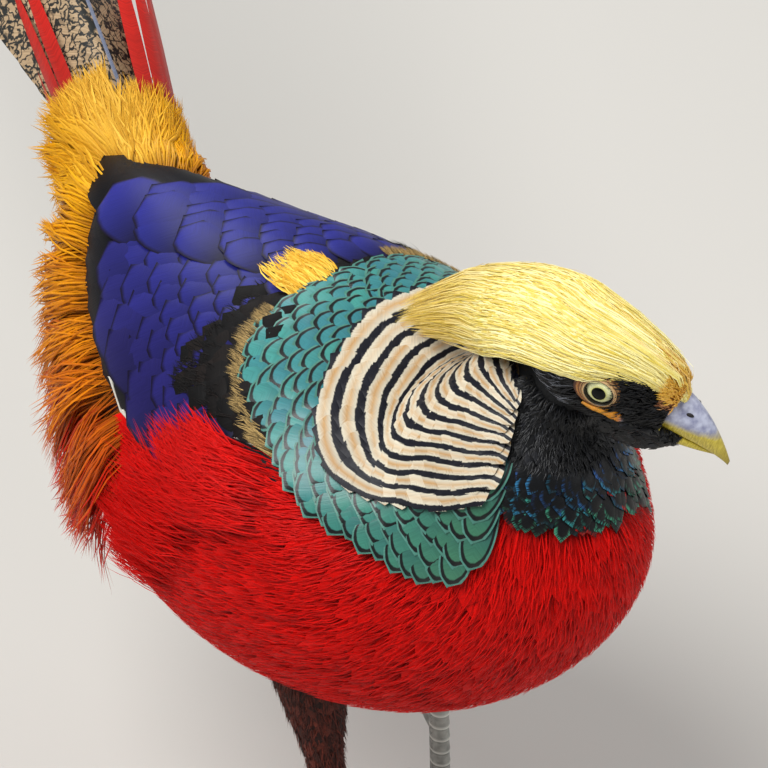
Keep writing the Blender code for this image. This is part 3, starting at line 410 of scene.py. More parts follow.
NODES = {  # word: the shader node, its settings, the inputs that the values fill, the output read
    "attribute": ("Attribute", {}, (), "Fac"),
    "vector attribute": ("Attribute", {}, (), "Vector"),
    "object place": ("TexCoord", {}, (), "Object"),
    "point": ("CombineXYZ", {}, (0, 1, 2), 0),
    "parts": ("SeparateXYZ", {}, (0,), 0),
    "grey": ("CombineColor", {}, (0, 1, 2), 0),
    "mix": ("Mix", {"data_type": "RGBA"}, (0, 6, 7), 2),
    "tint": ("Mix", {"data_type": "RGBA", "blend_type": "MULTIPLY"}, (0, 6, 7), 2),
    "remap": ("MapRange", {}, (0, 1, 2, 3, 4), 0),
    "ramp": ("ValToRGB", {}, (0,), 0),
    "times": ("Math", {"operation": "MULTIPLY"}, (0, 1), 0),
    "times plus": ("Math", {"operation": "MULTIPLY_ADD"}, (0, 1, 2), 0),
    "minus": ("Math", {"operation": "SUBTRACT"}, (0, 1), 0),
    "absolute": ("Math", {"operation": "ABSOLUTE"}, (0,), 0),
    "fraction": ("Math", {"operation": "FRACT"}, (0,), 0),
    "vector times plus": ("VectorMath", {"operation": "MULTIPLY_ADD"}, (0, 1, 2), 0),
    "noise": ("TexNoise", {}, ("Vector", "Scale", "Detail"), "Fac"),
    "cells": ("TexVoronoi", {"feature": "DISTANCE_TO_EDGE"}, ("Vector", "Scale"), "Distance"),
    "bump": ("Bump", {}, ("Strength", "Distance", "Height"), 0),
}


def put(tree, word, *values, stops=(), **settings):
    """Adds a node; values fill its inputs with numbers, colours or other outputs. Gives its output."""
    kind, usual, inputs, output = NODES[word]
    made = tree.nodes.new("ShaderNode" + kind)
    for key, value in {**usual, **settings}.items():
        setattr(made, key, value)
    for place, value in zip(inputs, values):
        if isinstance(value, bpy.types.NodeSocket):
            tree.links.new(value, made.inputs[place])
        else:
            made.inputs[place].default_value = linear(value) if isinstance(value, str) else value
    if stops:
        ramp = made.color_ramp.elements
        while len(ramp) < len(stops):
            ramp.new(0.5)
        for element, (position, code) in zip(ramp, stops):
            element.position, element.color = position, linear(code)
    return made.outputs[output]


def finish(name, roughness, **sockets):
    """A new material: its tree and its shader, whose sockets take the given values."""
    made = bpy.data.materials.new(name)
    made.use_nodes = True
    tree = made.node_tree
    shader = tree.nodes["Principled BSDF"]
    shader.inputs["Roughness"].default_value = roughness
    for key, value in sockets.items():
        socket = shader.inputs[key.replace("_", " ")]
        socket.default_value = linear(value) if isinstance(value, str) else value
    return made, tree, shader


# %% Barbs
BARB_STEP, BARB_SLANT = 0.0005, 0.9


def barbs(tree):
    """What every plumage finish reads: place on the feather, its tone and edge, and barb streaks."""
    x, y, tone = put(tree, "parts", put(tree, "vector attribute", attribute_name="quill")).node.outputs
    field = put(tree, "parts", put(tree, "vector attribute", attribute_name="field"))
    margin, along, tract = field.node.outputs
    wide = put(tree, "absolute", x)
    across = put(tree, "times", put(tree, "times plus", wide, -BARB_SLANT, y), 1 / BARB_STEP)
    place = put(tree, "point", across, put(tree, "times", wide, 160.0), put(tree, "times", tone, 90.0))
    streak = put(tree, "noise", place, 1.0, 2.0)
    return {"x": x, "y": y, "tone": tone, "margin": margin, "along": along, "tract": tract,
            "streak": streak, "wide": wide}


def tinted(tree, shader, colour, light, relief):
    """Joins a colour, a number that lightens or darkens it, and a relief to the shader."""
    grey = put(tree, "grey", light, light, light)
    tree.links.new(put(tree, "tint", 1.0, colour, grey), shader.inputs["Base Color"])
    if relief:
        tree.links.new(put(tree, "bump", *relief), shader.inputs["Normal"])


def plumage(name, roughness, paint, bump=0.25, shade=0.35, **sockets):
    """A plumage finish: paint gives its colour from what barbs reads."""
    made, tree, shader = finish(name, roughness, **sockets)
    barb = barbs(tree)
    colour = paint(tree, barb)
    light = put(tree, "remap", barb["streak"], 0.32, 0.68, 1.0 - shade, 1.0 + shade * 0.5)
    worn = put(tree, "remap", barb["tone"], 0.0, 1.0, 0.88, 1.10)
    tinted(tree, shader, colour, put(tree, "times", light, worn), (bump, 0.0003, barb["streak"]))
    return made


# %% [markdown]
# ## The skin
# Under the plumage lies one closed skin over the skull, neck, trunk and thighs, a few millimetres
# inside the feathers. It could be sculpted, but the same cross sections already give it: grids are
# wrapped round them into tubes, and a voxel remesh fuses the tubes into one surface with no seams.

# %% Tubes and what their points store
def full_turn(count):
    """Angles once round a tube; the last is the first again, so that the edges meet."""
    turn = np.linspace(0, 2 * np.pi, count)[None]
    turn[:, -1] = 0
    return turn


def nearest(points, places):
    """For each place the index of the nearest point."""
    tree = KDTree(len(points))
    for i, point in enumerate(points):
        tree.insert(point, i)
    tree.balance()
    return np.array([tree.find(place)[1] for place in places])


def store(piece, key, values):
    """Stores a number on every point of a piece, for its finish to read."""
    layer = piece.data.attributes.new(key, "FLOAT", "POINT")
    layer.data.foreach_set("value", np.asarray(values, np.float32).ravel())


def wrapped_grid(name, points, closed_ends=True, **stored):
    """A grid primitive whose points are wrapped round a tube; points is rows x columns x 3."""
    rows, columns = points.shape[:2]
    bpy.ops.object.select_all(action="DESELECT")
    bpy.ops.mesh.primitive_grid_add(x_subdivisions=columns - 1, y_subdivisions=rows - 1)
    made = bpy.context.object
    made.name = made.data.name = name
    made.data.vertices.foreach_set("co", points.astype(np.float32).ravel())
    made.matrix_world = Matrix()
    bpy.ops.object.mode_set(mode="EDIT")
    bpy.ops.mesh.select_all(action="SELECT")
    bpy.ops.mesh.remove_doubles(threshold=1e-6)
    if closed_ends:
        bpy.ops.mesh.select_all(action="DESELECT")
        bpy.ops.mesh.select_mode(type="EDGE")
        bpy.ops.mesh.select_non_manifold()
        bpy.ops.mesh.edge_face_add()
        bpy.ops.mesh.select_mode(type="VERT")
        bpy.ops.mesh.select_all(action="DESELECT")
        bpy.ops.mesh.select_non_manifold()
        bpy.ops.mesh.fill_holes(sides=0)
    bpy.ops.mesh.select_all(action="SELECT")
    bpy.ops.mesh.normals_make_consistent(inside=False)
    bpy.ops.mesh.select_all(action="DESELECT")
    bpy.ops.object.mode_set(mode="OBJECT")
    if stored:
        found = nearest(points.reshape(-1, 3), [v.co for v in made.data.vertices])
        for key, values in stored.items():
            store(made, key, values.ravel()[found])
    return made


# %% Skin
def tube_points(form, stops, count, depth):
    """Rings on a surface, depth metres inside it."""
    a, b = np.meshgrid(stops, np.linspace(-180, 180, count + 1), indexing="ij")
    b[:, -1] = b[:, 0]
    return form(a, b) - outward(form, a, b) * np.asarray(depth)[..., None]


def joined(pieces, name):
    """Several objects joined into one."""
    bpy.ops.object.select_all(action="DESELECT")
    for piece in pieces:
        piece.select_set(True)
    bpy.context.view_layer.objects.active = pieces[0]
    if len(pieces) > 1:
        bpy.ops.object.join()
    pieces[0].name = pieces[0].data.name = name
    return pieces[0]


def applied(piece, kind, **settings):
    """Adds a modifier with its settings and applies it."""
    bpy.ops.object.select_all(action="DESELECT")
    piece.select_set(True)
    bpy.context.view_layer.objects.active = piece
    modifier = piece.modifiers.new(kind.lower(), kind)
    for key, value in settings.items():
        setattr(modifier, key, value)
    bpy.ops.object.modifier_apply(modifier=modifier.name)
    return piece


LEGS = {  # knee, heel joint and foot: x, y, z
    "right": ((-0.0205, -0.0280, 0.128), (-0.0180, -0.0370, 0.080), (-0.0205, -0.0160, 0.0075)),
    "left": ((0.0465, 0.0000, 0.128), (0.0500, 0.0060, 0.080), (0.0480, 0.0000, 0.0075)),
}
THIGH_RADII = ((0.0110, 0.0150), (0.0105, 0.0130), (0.0085, 0.0100), (0.0064, 0.0074), (0.0046, 0.0052))


def limb_axes(start, end):
    along = unit(end - start)
    left = unit(np.array((1.0, 0, 0)) - along * along[0])
    return along, left, np.cross(along, left)


def thigh(side):
    """The surface of a thigh: a from 0 at the knee to 4 above the heel."""
    knee, heel = (np.array(LEGS[side][k]) + SHIFT for k in (0, 1))
    heel = heel + (knee - heel) * 0.06
    along, left, back = limb_axes(knee, heel)

    def form(a, b):
        a, b = np.broadcast_arrays(np.asarray(a, float), np.asarray(b, float))
        radii = row_at(THIGH_RADII, a)
        middle = knee + (heel - knee) * (a / 4)[..., None]
        return on_oval(middle, left, -back, radii[..., 0], radii[..., 1], radii[..., 1], b)

    return form


skin_depth = np.interp(np.linspace(0, 9.3, 60), (0, 1, 3, 8.6, 9.3), (0.002, 0.003, 0.0035, 0.0035, 0.002))
tubes = [
    wrapped_grid("trunk_skin", tube_points(body, np.linspace(0, 9.3, 60), 60, skin_depth[:, None])),
    wrapped_grid("skull_skin", tube_points(skull, np.linspace(0, 5.98, 24), 32, 0.0012)),
]
for side in LEGS:
    tubes.append(
        wrapped_grid(f"thigh_skin_{side}", tube_points(thigh(side), np.linspace(-1.5, 3.9, 16), 20, 0.001))
    )
skin_piece = joined(tubes, "skin")
applied(skin_piece, "REMESH", mode="VOXEL", voxel_size=0.0016)
applied(skin_piece, "SMOOTH", factor=0.5, iterations=3)
print("skin faces:", len(skin_piece.data.polygons))

# %% [markdown]
# ## Where one tract ends and the next begins
# The borders between the colours are what makes a pheasant look right, so they are measured once, as
# pairs of an angle and a station, and both the skin's markings and the feathers are laid by them.
# The head is turned to the left, so there the ruff is drawn together and covers less of the neck.

# %% Borders
CAPE_RIM = ((0, 4.47), (11, 4.47), (33, 4.2), (48, 3.93), (64, 3.55), (71, 3.3), (89, 2.68), (105, 2.35),
            (119, 2.03))
MANTLE_RIM = ((0, 5.2), (33, 5.17), (46, 4.95), (54, 4.68), (60, 4.36), (66, 4.12), (81, 3.7), (94, 3.35),
              (109, 3.05), (119, 2.83), (126, 2.58))
FACE_STATION, FACE_ANGLE, CAPE_SPREAD, LEFT_SIDE = 0.45, 80.0, 39.0, 0.78
CAPE_SIDE_LENGTH, CAPE_SIDE, MANTLE_SIDE = 1.58, 119, 126


def collar_end(down):
    """The station of the last collar roots; down goes on past the belly, to 300 on the left side."""
    return np.interp(down, (90, 140, 190, 212, 232, 300), (1.86, 1.84, 1.90, 2.1, 2.45, 2.45))


def rim_at(rim, down):
    """The station of a rim at that angle from the back's middle."""
    return np.interp(np.abs(down), *np.transpose(rim))


def rim_angle(rim, station):
    """The angle of a rim at that station."""
    down, stations = np.transpose(rim)
    return np.interp(station, stations[::-1], down[::-1])


def cape_side(share):
    """The angle of the cape's side edge, from the face at share 0 to its rim at 1."""
    return FACE_ANGLE + CAPE_SPREAD * np.clip(share, 0, 1) ** 0.6


# %% [markdown]
# ## What shows between the feathers
# Wherever two feathers part on a live bird, the down and the bases of the next ones show, in nearly
# the coat's own colour. A painted image could give that. Here each point of the skin looks up its
# own place on the body and takes the colour of the tract there, so skin and coat share their borders.

# %% Markings of the skin
ZONES = (  # what shows on the skin between the feathers
    "#0b0b0d", "#8f7350", "#173f40", "#4d0605", "#120c09", "#12122e", "#8a520c", "#2a1610",
)
LEGS_BELOW, HEAD_WITHIN = 0.125, 0.024


def zone_of(station, down):
    """Which of the zones a place of the trunk's skin lies in."""
    side = np.where(down < 0, -down / LEFT_SIDE, down)
    zone = np.full(station.shape, 3)
    zone[(station > 4.7) & (side < 64)] = 4
    zone[(station > 5.6) & (side < 72)] = 5
    zone[(station > 6.8) & (side < 110)] = 6
    zone[(station < rim_at(MANTLE_RIM, side)) & (side < 128)] = 2
    zone[(station < rim_at(CAPE_RIM, side)) & (side < 119)] = 1
    zone[(station < 2.1) & (side > cape_side((station - FACE_STATION) / CAPE_SIDE_LENGTH))] = 0
    zone[station < FACE_STATION] = 0
    return zone


grid_a, grid_b = (v.ravel() for v in np.meshgrid(np.linspace(0, 9.3, 140), np.arange(-180, 180, 4)))
mesh = skin_piece.data
points = np.array([v.co for v in mesh.vertices])
found = nearest(body(grid_a, grid_b), points)
zone = zone_of(grid_a[found], grid_b[found]).astype(float)
zone[points[:, 2] < LEGS_BELOW] = 7
zone[np.linalg.norm(points - on_head(0.0, 0.0, 0.0), axis=1) < HEAD_WITHIN] = 0
store(skin_piece, "zone", zone)
spots = np.stack((grid_b[found] / 360 + 0.5, grid_a[found] / 9.4), 1)
corners = np.empty(len(mesh.loops), np.int32)
mesh.loops.foreach_get("vertex_index", corners)
mesh.uv_layers.new(name="OFBake").data.foreach_set("uv", spots[corners].astype(np.float32).ravel())

made, tree, shader = finish("skin under the plumage", 0.8)
zone_share = put(tree, "remap", put(tree, "attribute", attribute_name="zone"), 0.0, len(ZONES))
ramp = put(tree, "ramp", zone_share,
           stops=[(max(i - 0.5, 0.0) / len(ZONES), code) for i, code in enumerate(ZONES)])
ramp.node.color_ramp.interpolation = "CONSTANT"
shade = put(tree, "remap", put(tree, "noise", put(tree, "object place"), 900.0), 0.3, 0.7, 0.6, 1.1)
tinted(tree, shader, ramp, shade, None)
mesh.materials.clear()
mesh.materials.append(made)
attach(skin_piece, "root")
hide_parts("head", "neck", "torso", "rump", "thigh_left", "thigh_right")

# %% [markdown]
# ## Tail
# The tail is two thirds of the bird's length. Its feathers lie like roof tiles on one long roof, the
# middle pair on top, and the roof rises from the rump and then droops. The vanes are dark with a net
# of buff spots, which is a pigment pattern: cells of a distorted Voronoi texture have that look.

# %% Tail form
TAIL_ROOT = np.array((0.0110, 0.1165, 0.2000))
TAIL_YAW, TAIL_RISE, TAIL_DROOP = math.radians(12), math.radians(19), math.radians(34)
TAIL_PAIRS = (0.720, 0.520, 0.400, 0.320, 0.262, 0.218, 0.182, 0.152, 0.128)
TAIL_STOPS = (0.0, 0.030, 0.075, 0.130, 0.200, 0.290, 0.390, 0.500, 0.610, 0.720)
TAIL_WIDTH, TAIL_SLOPE, TAIL_STACK = 0.037, 0.90, 0.00102
TAIL_LEFT = np.array((math.cos(TAIL_YAW), -math.sin(TAIL_YAW), 0.0))
TAIL_AHEAD = np.array((math.sin(TAIL_YAW), math.cos(TAIL_YAW), 0.0))
tail_line, point = [], TAIL_ROOT + SHIFT
for i, stop in enumerate(TAIL_STOPS):
    rise = TAIL_RISE - TAIL_DROOP * (stop / TAIL_STOPS[-1]) ** 1.2
    way = TAIL_AHEAD * math.cos(rise) + np.array((0, 0, math.sin(rise)))
    tail_line.append((*point, *np.cross(TAIL_LEFT, way)))
    if i < len(TAIL_STOPS) - 1:
        point = point + way * (TAIL_STOPS[i + 1] - stop)


def tail_roof(stop, right):
    """The roof that the tail feathers lie on: stop counts the tail's stops, right is in millimetres."""
    stop, right = np.broadcast_arrays(np.asarray(stop, float), np.asarray(right, float))
    row = row_at(tail_line, stop)
    slope = TAIL_SLOPE * (np.hypot(right, 1.5) - 1.5) / 1000
    return row[..., :3] - TAIL_LEFT * (right / 1000)[..., None] + row[..., 3:] * (0.0080 - slope)[..., None]


def tail_stop_at(length):
    return np.interp(length, TAIL_STOPS, range(len(TAIL_STOPS)))


# %% Tail finish
NET_SCALES = (("x", 300.0), ("y", 250.0), ("tone", 40.0))  # meshes 3 to 4 mm wide, a net for each feather


def netted(tree, barb):
    """Buff spots in a dark net, and a grey shaft."""
    place = put(tree, "point", *(put(tree, "times", barb[key], scale) for key, scale in NET_SCALES))
    wander = put(tree, "noise", place, 1.1, 2.0).node.outputs["Color"]
    moved = put(tree, "vector times plus", wander, (2.2, 2.2, 0.0), place)
    net = put(tree, "remap", put(tree, "cells", moved, 1.0), 0.06, 0.13)
    buff = put(tree, "mix", barb["streak"], "#a1845f", "#c6ab88")
    dark = put(tree, "mix", barb["streak"], "#10100f", "#23241f")
    shaft = put(tree, "remap", barb["wide"], 0.0008, 0.0011, 1.0, 0.0)
    return put(tree, "mix", shaft, put(tree, "mix", net, dark, buff), "#8c96ad")


tail_finish = plumage("tail vane, netted buff on black", 0.55, netted, shade=0.25)

# %% Tail feathers
places, widths, stacks = [], [], []
for pair, length in enumerate(TAIL_PAIRS):
    for side in (1, -1):
        stops = np.linspace(0, length, 9)
        width = TAIL_WIDTH * (1 - 0.06 * pair)
        grown = width * np.minimum(1.0, 0.25 + 6.0 * stops) * (1 - 0.30 * stops / length)
        spread = 0.0009 * pair + stops * math.tan(math.radians(0.14 * pair**1.3))
        middle = 0.15 * grown if pair == 0 else spread + grown / 2
        places.append((tail_stop_at(stops), middle * side * 1000))
        widths.append(width)
        stacks.append(-TAIL_STACK * (2 * pair + (side > 0)))
places = np.array(places)


def tail_outline(t):
    """Half widths of a tail feather: it narrows slowly, and its last fifth is rounded."""
    rounded = np.sqrt(np.clip(1 - ((t - 0.8) / 0.2).clip(0) ** 2, 0, 1))
    return np.minimum(1.0, 0.30 + 4.0 * t) * (1 - 0.30 * t) * rounded + 0.01


tail = lay("tail_feathers", tail_roof, places[:, 0], places[:, 1], np.array(widths), (0, 0), tail_finish,
           rows=60, columns=9, outline=tail_outline, stack=np.array(stacks), arch=0.02, jitter=0.0,
           cells=True)
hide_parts("tail")

# %% [markdown]
# ## Red body plumage
# The breast and belly look smooth, because hundreds of small round feathers lie like shingles and
# their outer barbs are loose, like fine hair. One layer of broad vanes closes the coat, and a second
# layer of fine tufts over it gives the hairy gloss. Both follow the lie from the throat to the tail.

# %% Red feathers
def red_edge(station):
    """How far up the side the red begins: under the mantle in front, under the wing behind."""
    wing = np.interp(station, (4.4, 5.15, 5.4, 5.6, 5.8, 6.2, 7.6), (52, 58, 66, 76, 88, 98, 108))
    return float(max(rim_angle(MANTLE_RIM, station) - 8, wing if station > 4.4 else 0.0))


def red_left(station):
    """The same border on the left side, as an angle that goes on past the belly."""
    front = 360 - LEFT_SIDE * (rim_angle(MANTLE_RIM, station) - 8)
    return float(min(front, 360 - red_edge(station)) if station > 4.4 else front)


def red(tree, barb):
    deep = put(tree, "mix", put(tree, "remap", barb["along"], 0.0, 0.7), "#7a0302", "#cc0804")
    return put(tree, "mix", put(tree, "remap", barb["tone"], 0.2, 0.9, 0.0, 0.8), deep, "#dd0c06")


red_finish = plumage("loose red barbs", 0.55, red, bump=0.12, shade=0.16, Specular_IOR_Level=0.1)
root_a, root_b = shingles(body, np.arange(2.1, 7.6, 0.15), red_edge, red_left, 0.0052)
root_a, root_b = root_a[root_a > collar_end(root_b) + 0.15], root_b[root_a > collar_end(root_b) + 0.15]
a, b = combed(body, root_a, root_b, 6, (0.013, 0.017))
breast = lay("breast_feathers", body, a, b, 0.0095, (-0.0032, -0.0014, -0.0003, 0.0002), red_finish,
             blunt=0.45, rows=5, tilt=0.0003)

for part, first, last in (("front", 2.15, 3.7), ("side", 3.7, 5.1), ("rear", 5.1, 7.4)):
    root_a, root_b = shingles(body, np.arange(first, last, 0.05), red_edge, red_left, 0.0013)
    root_a, root_b = root_a[root_a > collar_end(root_b) + 0.2], root_b[root_a > collar_end(root_b) + 0.2]
    a, b = combed(body, root_a, root_b, 7, (0.008, 0.012))
    fine = lay(f"breast_barbs_{part}", body, a, b, 0.0005, (-0.0009, 0.0004, 0.0009, 0.0010), red_finish,
               rows=3, **STRAND, wave=0.0005, jitter=0.0002)

# %% [markdown]
# ## Flank plumes
# Along the wing's lower edge the longest red feathers hang loose and sweep up over it. Combed curves
# could make them, but solid strands in small tufts stay the same on every run, so each feather here
# is split into a few strands that start apart and gather at the tip.

# %% Flank plumes
def flank(side, count):
    """Long loose plumes that sweep up over the lower edge of a wing."""
    root_a = rng.uniform(4.12, 5.5, count)
    edge = np.interp(root_a + 0.55, (4.4, 5.15, 5.4, 5.6, 5.8, 6.1), (57, 62, 69, 79, 92, 102))
    root_b = edge + rng.uniform(7, 30, count)
    veer = -side * rng.normal(25, 9, count) * np.interp(root_a, (4.2, 4.7), (0.0, 1.0))
    a, b = reach(body, root_a, side * root_b, veer, rng.uniform(0.015, 0.026, count))
    return split(a, b, 8, 0.05, 2.0, gather=0.35)


a, b = merged(flank(1, 340), flank(-1, 120))
plumes = lay("flank_plumes", body, a, b, 0.00045, (-0.002, 0.0022, 0.0046, 0.0066), red_finish,
             rows=5, **STRAND, wave=0.0016, jitter=0.0012)

# %% [markdown]
# ## Wings
# The folded wing shows tiers of round coverts, blue-violet with a dark purple rim, and behind them
# the dark flight feathers. The tiers fan out: close together at the shoulder and spread at the
# rear. So a wing has lines of its own on the body, and its feathers are laid along them.

# %% Wing lines
WING_FRONT = 4.66
WING_TOP = {1: -0.10, -1: -0.50}
WING_REAR = {  # shares across the wing, and the station where it ends there
    1: ((-0.1, 0.2, 0.35, 0.49, 0.62, 0.75, 0.83, 0.90, 1.0),
        (8.15, 8.12, 8.08, 7.95, 7.55, 7.03, 6.60, 6.18, 5.75)),
    -1: ((-0.5, -0.4, -0.2, 0.1, 0.49, 0.62, 0.75, 0.90, 1.0),
         (9.00, 8.78, 8.45, 8.20, 7.80, 7.45, 6.95, 6.25, 5.85)),
}


def wing_rear(side, share):
    """The station where the folded wing ends; share 0 is near the back's middle, 1 is its lower edge."""
    return np.interp(share, *WING_REAR[side])


def wing_down(side, share, station):
    """The angle of the wing's line at that share and station."""
    t = np.clip((station - WING_FRONT) / (wing_rear(side, share) - WING_FRONT), 0, 1)
    front, rear = 21 + 48 * share, 7 + 69 * share
    return side * (front + (rear - front) * t)


def wing_lines(side, shares, roots, tips):
    """Control points of feathers on the wing's lines."""
    a = roots[:, None] + (tips - roots)[:, None] * np.linspace(0, 1, 4)
    return a, wing_down(side, shares[:, None], a)


# %% Wing finishes
def blue(tree, barb):
    """Bluer and lighter near the back, darker and more violet down the side, with a thin dark rim. The
    darkening down the side is painted shade.
    """
    rim = put(tree, "remap", barb["margin"], 0.0002, 0.0012)
    # painted shade: coverts low on the side are painted darker, as if less light fell on them; the turn to
    # violet goes with it
    web = put(tree, "mix", put(tree, "remap", barb["tract"], 0.0, 0.7), "#282b84", "#221d58")
    web = put(tree, "mix", put(tree, "remap", barb["tone"], 0.0, 1.0, 0.0, 0.35), web, "#262674")
    web = put(tree, "mix", put(tree, "remap", barb["along"], 0.45, 0.9), "#161433", web)
    return put(tree, "mix", rim, "#130d24", web)


def flight(tree, barb):
    pale = put(tree, "remap", barb["margin"], 0.0005, 0.0009, 1.0, 0.0)
    return put(tree, "mix", put(tree, "times", pale, barb["tract"]), "#090910", "#d9d4c8")


blue_finish = plumage("blue-violet covert vane", 0.42, blue, bump=0.12, shade=0.12, Specular_IOR_Level=0.12)
flight_finish = plumage("dark flight feather vane", 0.45, flight, bump=0.15, shade=0.2,
                        Specular_IOR_Level=0.1)
COVERTS = (  # share between feathers, tip as a share of the wing's length, length in stations, width
    (0.240, 0.805, 1.6, 0.0225), (0.230, 0.725, 1.5, 0.0215), (0.220, 0.65, 1.4, 0.0205),
    (0.210, 0.575, 1.3, 0.0190), (0.200, 0.505, 1.1, 0.0175), (0.185, 0.44, 1.0, 0.0160),
    (0.170, 0.38, 0.9, 0.0145), (0.160, 0.325, 0.8, 0.0130), (0.150, 0.27, 0.8, 0.0120),
)

# %% Wing feathers
for side, label in ((1, "right"), (-1, "left")):
    top, over_other = WING_TOP[side], 0.0016 if side < 0 else 0.0
    shares, roots, tips, lifts, widths = [], [], [], [], []
    for tier, (gap, tip, length, width) in enumerate(COVERTS):
        share = np.arange(top + gap * (0.2 + 0.5 * (tier % 2)), 1.0, gap)
        share = share + rng.uniform(-0.015, 0.015, len(share))
        end = WING_FRONT + (wing_rear(side, share) - WING_FRONT) * tip + rng.uniform(-0.03, 0.03, len(share))
        shares.append(share)
        tips.append(end)
        roots.append(np.maximum(end - length, 4.5))
        extra = over_other * np.clip(1 - share / 0.3, 0, 1)
        lifts += [(-0.0025, 0.0010 + e, 0.0024 + e, 0.0031 + e) for e in extra]
        widths += [width] * len(share)
    a, b = wing_lines(side, np.concatenate(shares), np.concatenate(roots), np.concatenate(tips))
    wing = lay(f"wing_coverts_{label}", body, a, b, np.array(widths), np.array(lifts), blue_finish,
               blunt=0.62, rows=15, columns=9, tilt=-0.0003 * side, jitter=0.0001, arch=0.05,
               tract=np.clip(np.concatenate(shares), 0, 1), cells=True)
    share = np.linspace(top + 0.03, 0.99, 16)
    tips = wing_rear(side, share) + 0.06
    a, b = wing_lines(side, share, tips - 2.2, tips)
    lift = 0.0016 + over_other * np.clip(1 - share / 0.3, 0, 1)
    lifts = np.stack((0 * lift - 0.0025, lift - 0.0010, lift, lift), 1)
    quills = lay(f"flight_feathers_{label}", body, a, b, 0.0150, lifts, flight_finish, jitter=0.0001,
                 blunt=0.6, rows=12, columns=7, tilt=0.0003 * side, tract=(share > 0.9) * 1.0, cells=True)
    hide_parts(f"wing_{label}")

# %% [markdown]
# ## Rump
# The golden rump feathers hardly hold together: their barbs are free and silky, so they read as
# hair. They are laid as long fine strands that stand out more and more towards their tips.

# %% Golden strands
def golden(tree, barb):
    """Pale gold on the back, deeper and redder down the side: the redder hue is the plumes' own, the deeper
    tone is painted shade.
    """
    # painted shade: the ramps darken towards the lower side as well as turning red
    deep, bright = (put(tree, "ramp", barb["tract"], stops=list(zip((0.0, 0.35, 0.58, 0.80), codes)))
                    for codes in (("#cf9628", "#c98808", "#bd6404", "#a81c06"),
                                  ("#ecbc4a", "#e8a80e", "#df8806", "#cc2408")))
    colour = put(tree, "mix", barb["tone"], deep, bright)
    return put(tree, "mix", put(tree, "remap", barb["along"], 0.0, 0.35), "#8e4c04", colour)


def orange_red(tree, barb):
    return put(tree, "mix", barb["along"], "#7c1206", "#cf1c10")


gold_finish = plumage("silky golden barbs", 0.45, golden, bump=0.1, shade=0.10, Specular_IOR_Level=0.12)
ember_finish = plumage("narrow red rump vane", 0.5, orange_red, shade=0.25, Specular_IOR_Level=0.3)
FLUFF = {1: 0.62, -1: 0.15}


def rump_side(side, count, long):
    """Tufts rooted behind the wing: they run back along the spine and droop at the side."""
    root_b = rng.uniform(0, 112, count)
    first = np.where(root_b < 76, wing_rear(side, (root_b - 7) / 69) + 0.04, 5.78)
    first = np.where(root_b < 26, 8.75, first) if side > 0 else np.maximum(first, 8.3)
    root_a = first + rng.uniform(0, 1, count) ** 1.3 * (9.0 - first)
    veer = side * rng.normal(1, 0.2, count) * np.interp(root_b, (0, 30, 60, 85, 112), (0, 24, 52, 68, 76))
    a, b = reach(body, root_a, side * root_b, veer, rng.uniform(0.8, 1.1, count) * long)
    a, b = split(a, b, 12, 0.05, 3.4, gather=0.35)
    fluff = FLUFF[side] * np.clip(root_b / 40, 0.35, 1) * rng.uniform(0.5, 1.15, count)
    rises = ((-0.0022, 0.0), (0.002, 0.004), (0.003, 0.010), (0.003, 0.018))
    lifts = np.stack([low + more * fluff for low, more in rises], 1)
    return a, b, np.repeat(lifts, 12, 0), np.repeat(root_b / 112, 12)


for side, label, count, long in ((1, "right", 430, 0.033), (-1, "left", 260, 0.028)):
    a, b, lifts, low = rump_side(side, count, long)
    rump = lay(f"rump_plumes_{label}", body, a, b, 0.0006, lifts, gold_finish, rows=5, **STRAND,
               wave=0.0016, jitter=0.0008, tract=low)

# %% [markdown]
# ## Tail coverts
# Long, narrow red feathers lie along both sides of the tail's root. They hold together as vanes, so
# they are broad closed shapes, not strands. On the right side the lower ones hang away from the tail.

# %% Narrow red feathers beside the tail
def coverts_beside(side):
    """Their roots and tips; on the right side the lower ones hang away from the tail."""
    down = np.array((38, 58, 76, 90, 104, 118.0))
    hang = np.array((5, 6, 14, 26, 36, 42.0)) if side > 0 else np.full(6, 7.0)
    a = np.stack((8.3 + 0 * down, 12.6 - 0.045 * hang), 1)
    return a, np.stack((side * down, side * (down + hang)), 1)


a, b = merged(coverts_beside(1), coverts_beside(-1))
beside = lay("tail_coverts", body, a, b, 0.0042, (-0.002, 0.004, 0.0065, 0.0085), ember_finish, blunt=0.1,
             rows=14, columns=5, cells=True)

# %% [markdown]
# ## Mantle
# The upper back carries round, metallic green feathers with a thin black line just inside the rim.
# The line must follow each feather's edge, so every point knows how far it lies from the rim, and
# the finish paints the line between two such distances.

# %% Mantle
def teal(tree, barb):
    web = put(tree, "mix", put(tree, "remap", barb["tone"], 0.0, 1.0), "#35808a", "#3c8a80")
    # painted shade: the feathers low on the sides are painted darker, where less light falls; they also turn
    # greener there
    web = put(tree, "mix", put(tree, "remap", barb["tract"], 0.5, 0.95), web, "#3a7358")
    web = put(tree, "mix", put(tree, "remap", barb["along"], 0.3, 0.85), "#16454d", web)
    inner = put(tree, "remap", barb["margin"], 0.0011, 0.0013)
    outer = put(tree, "remap", barb["margin"], 0.0004, 0.00055, 1.0, 0.0)
    lined = put(tree, "mix", inner, "#060c0c", web)
    return put(tree, "mix", outer, lined, "#4a8274")


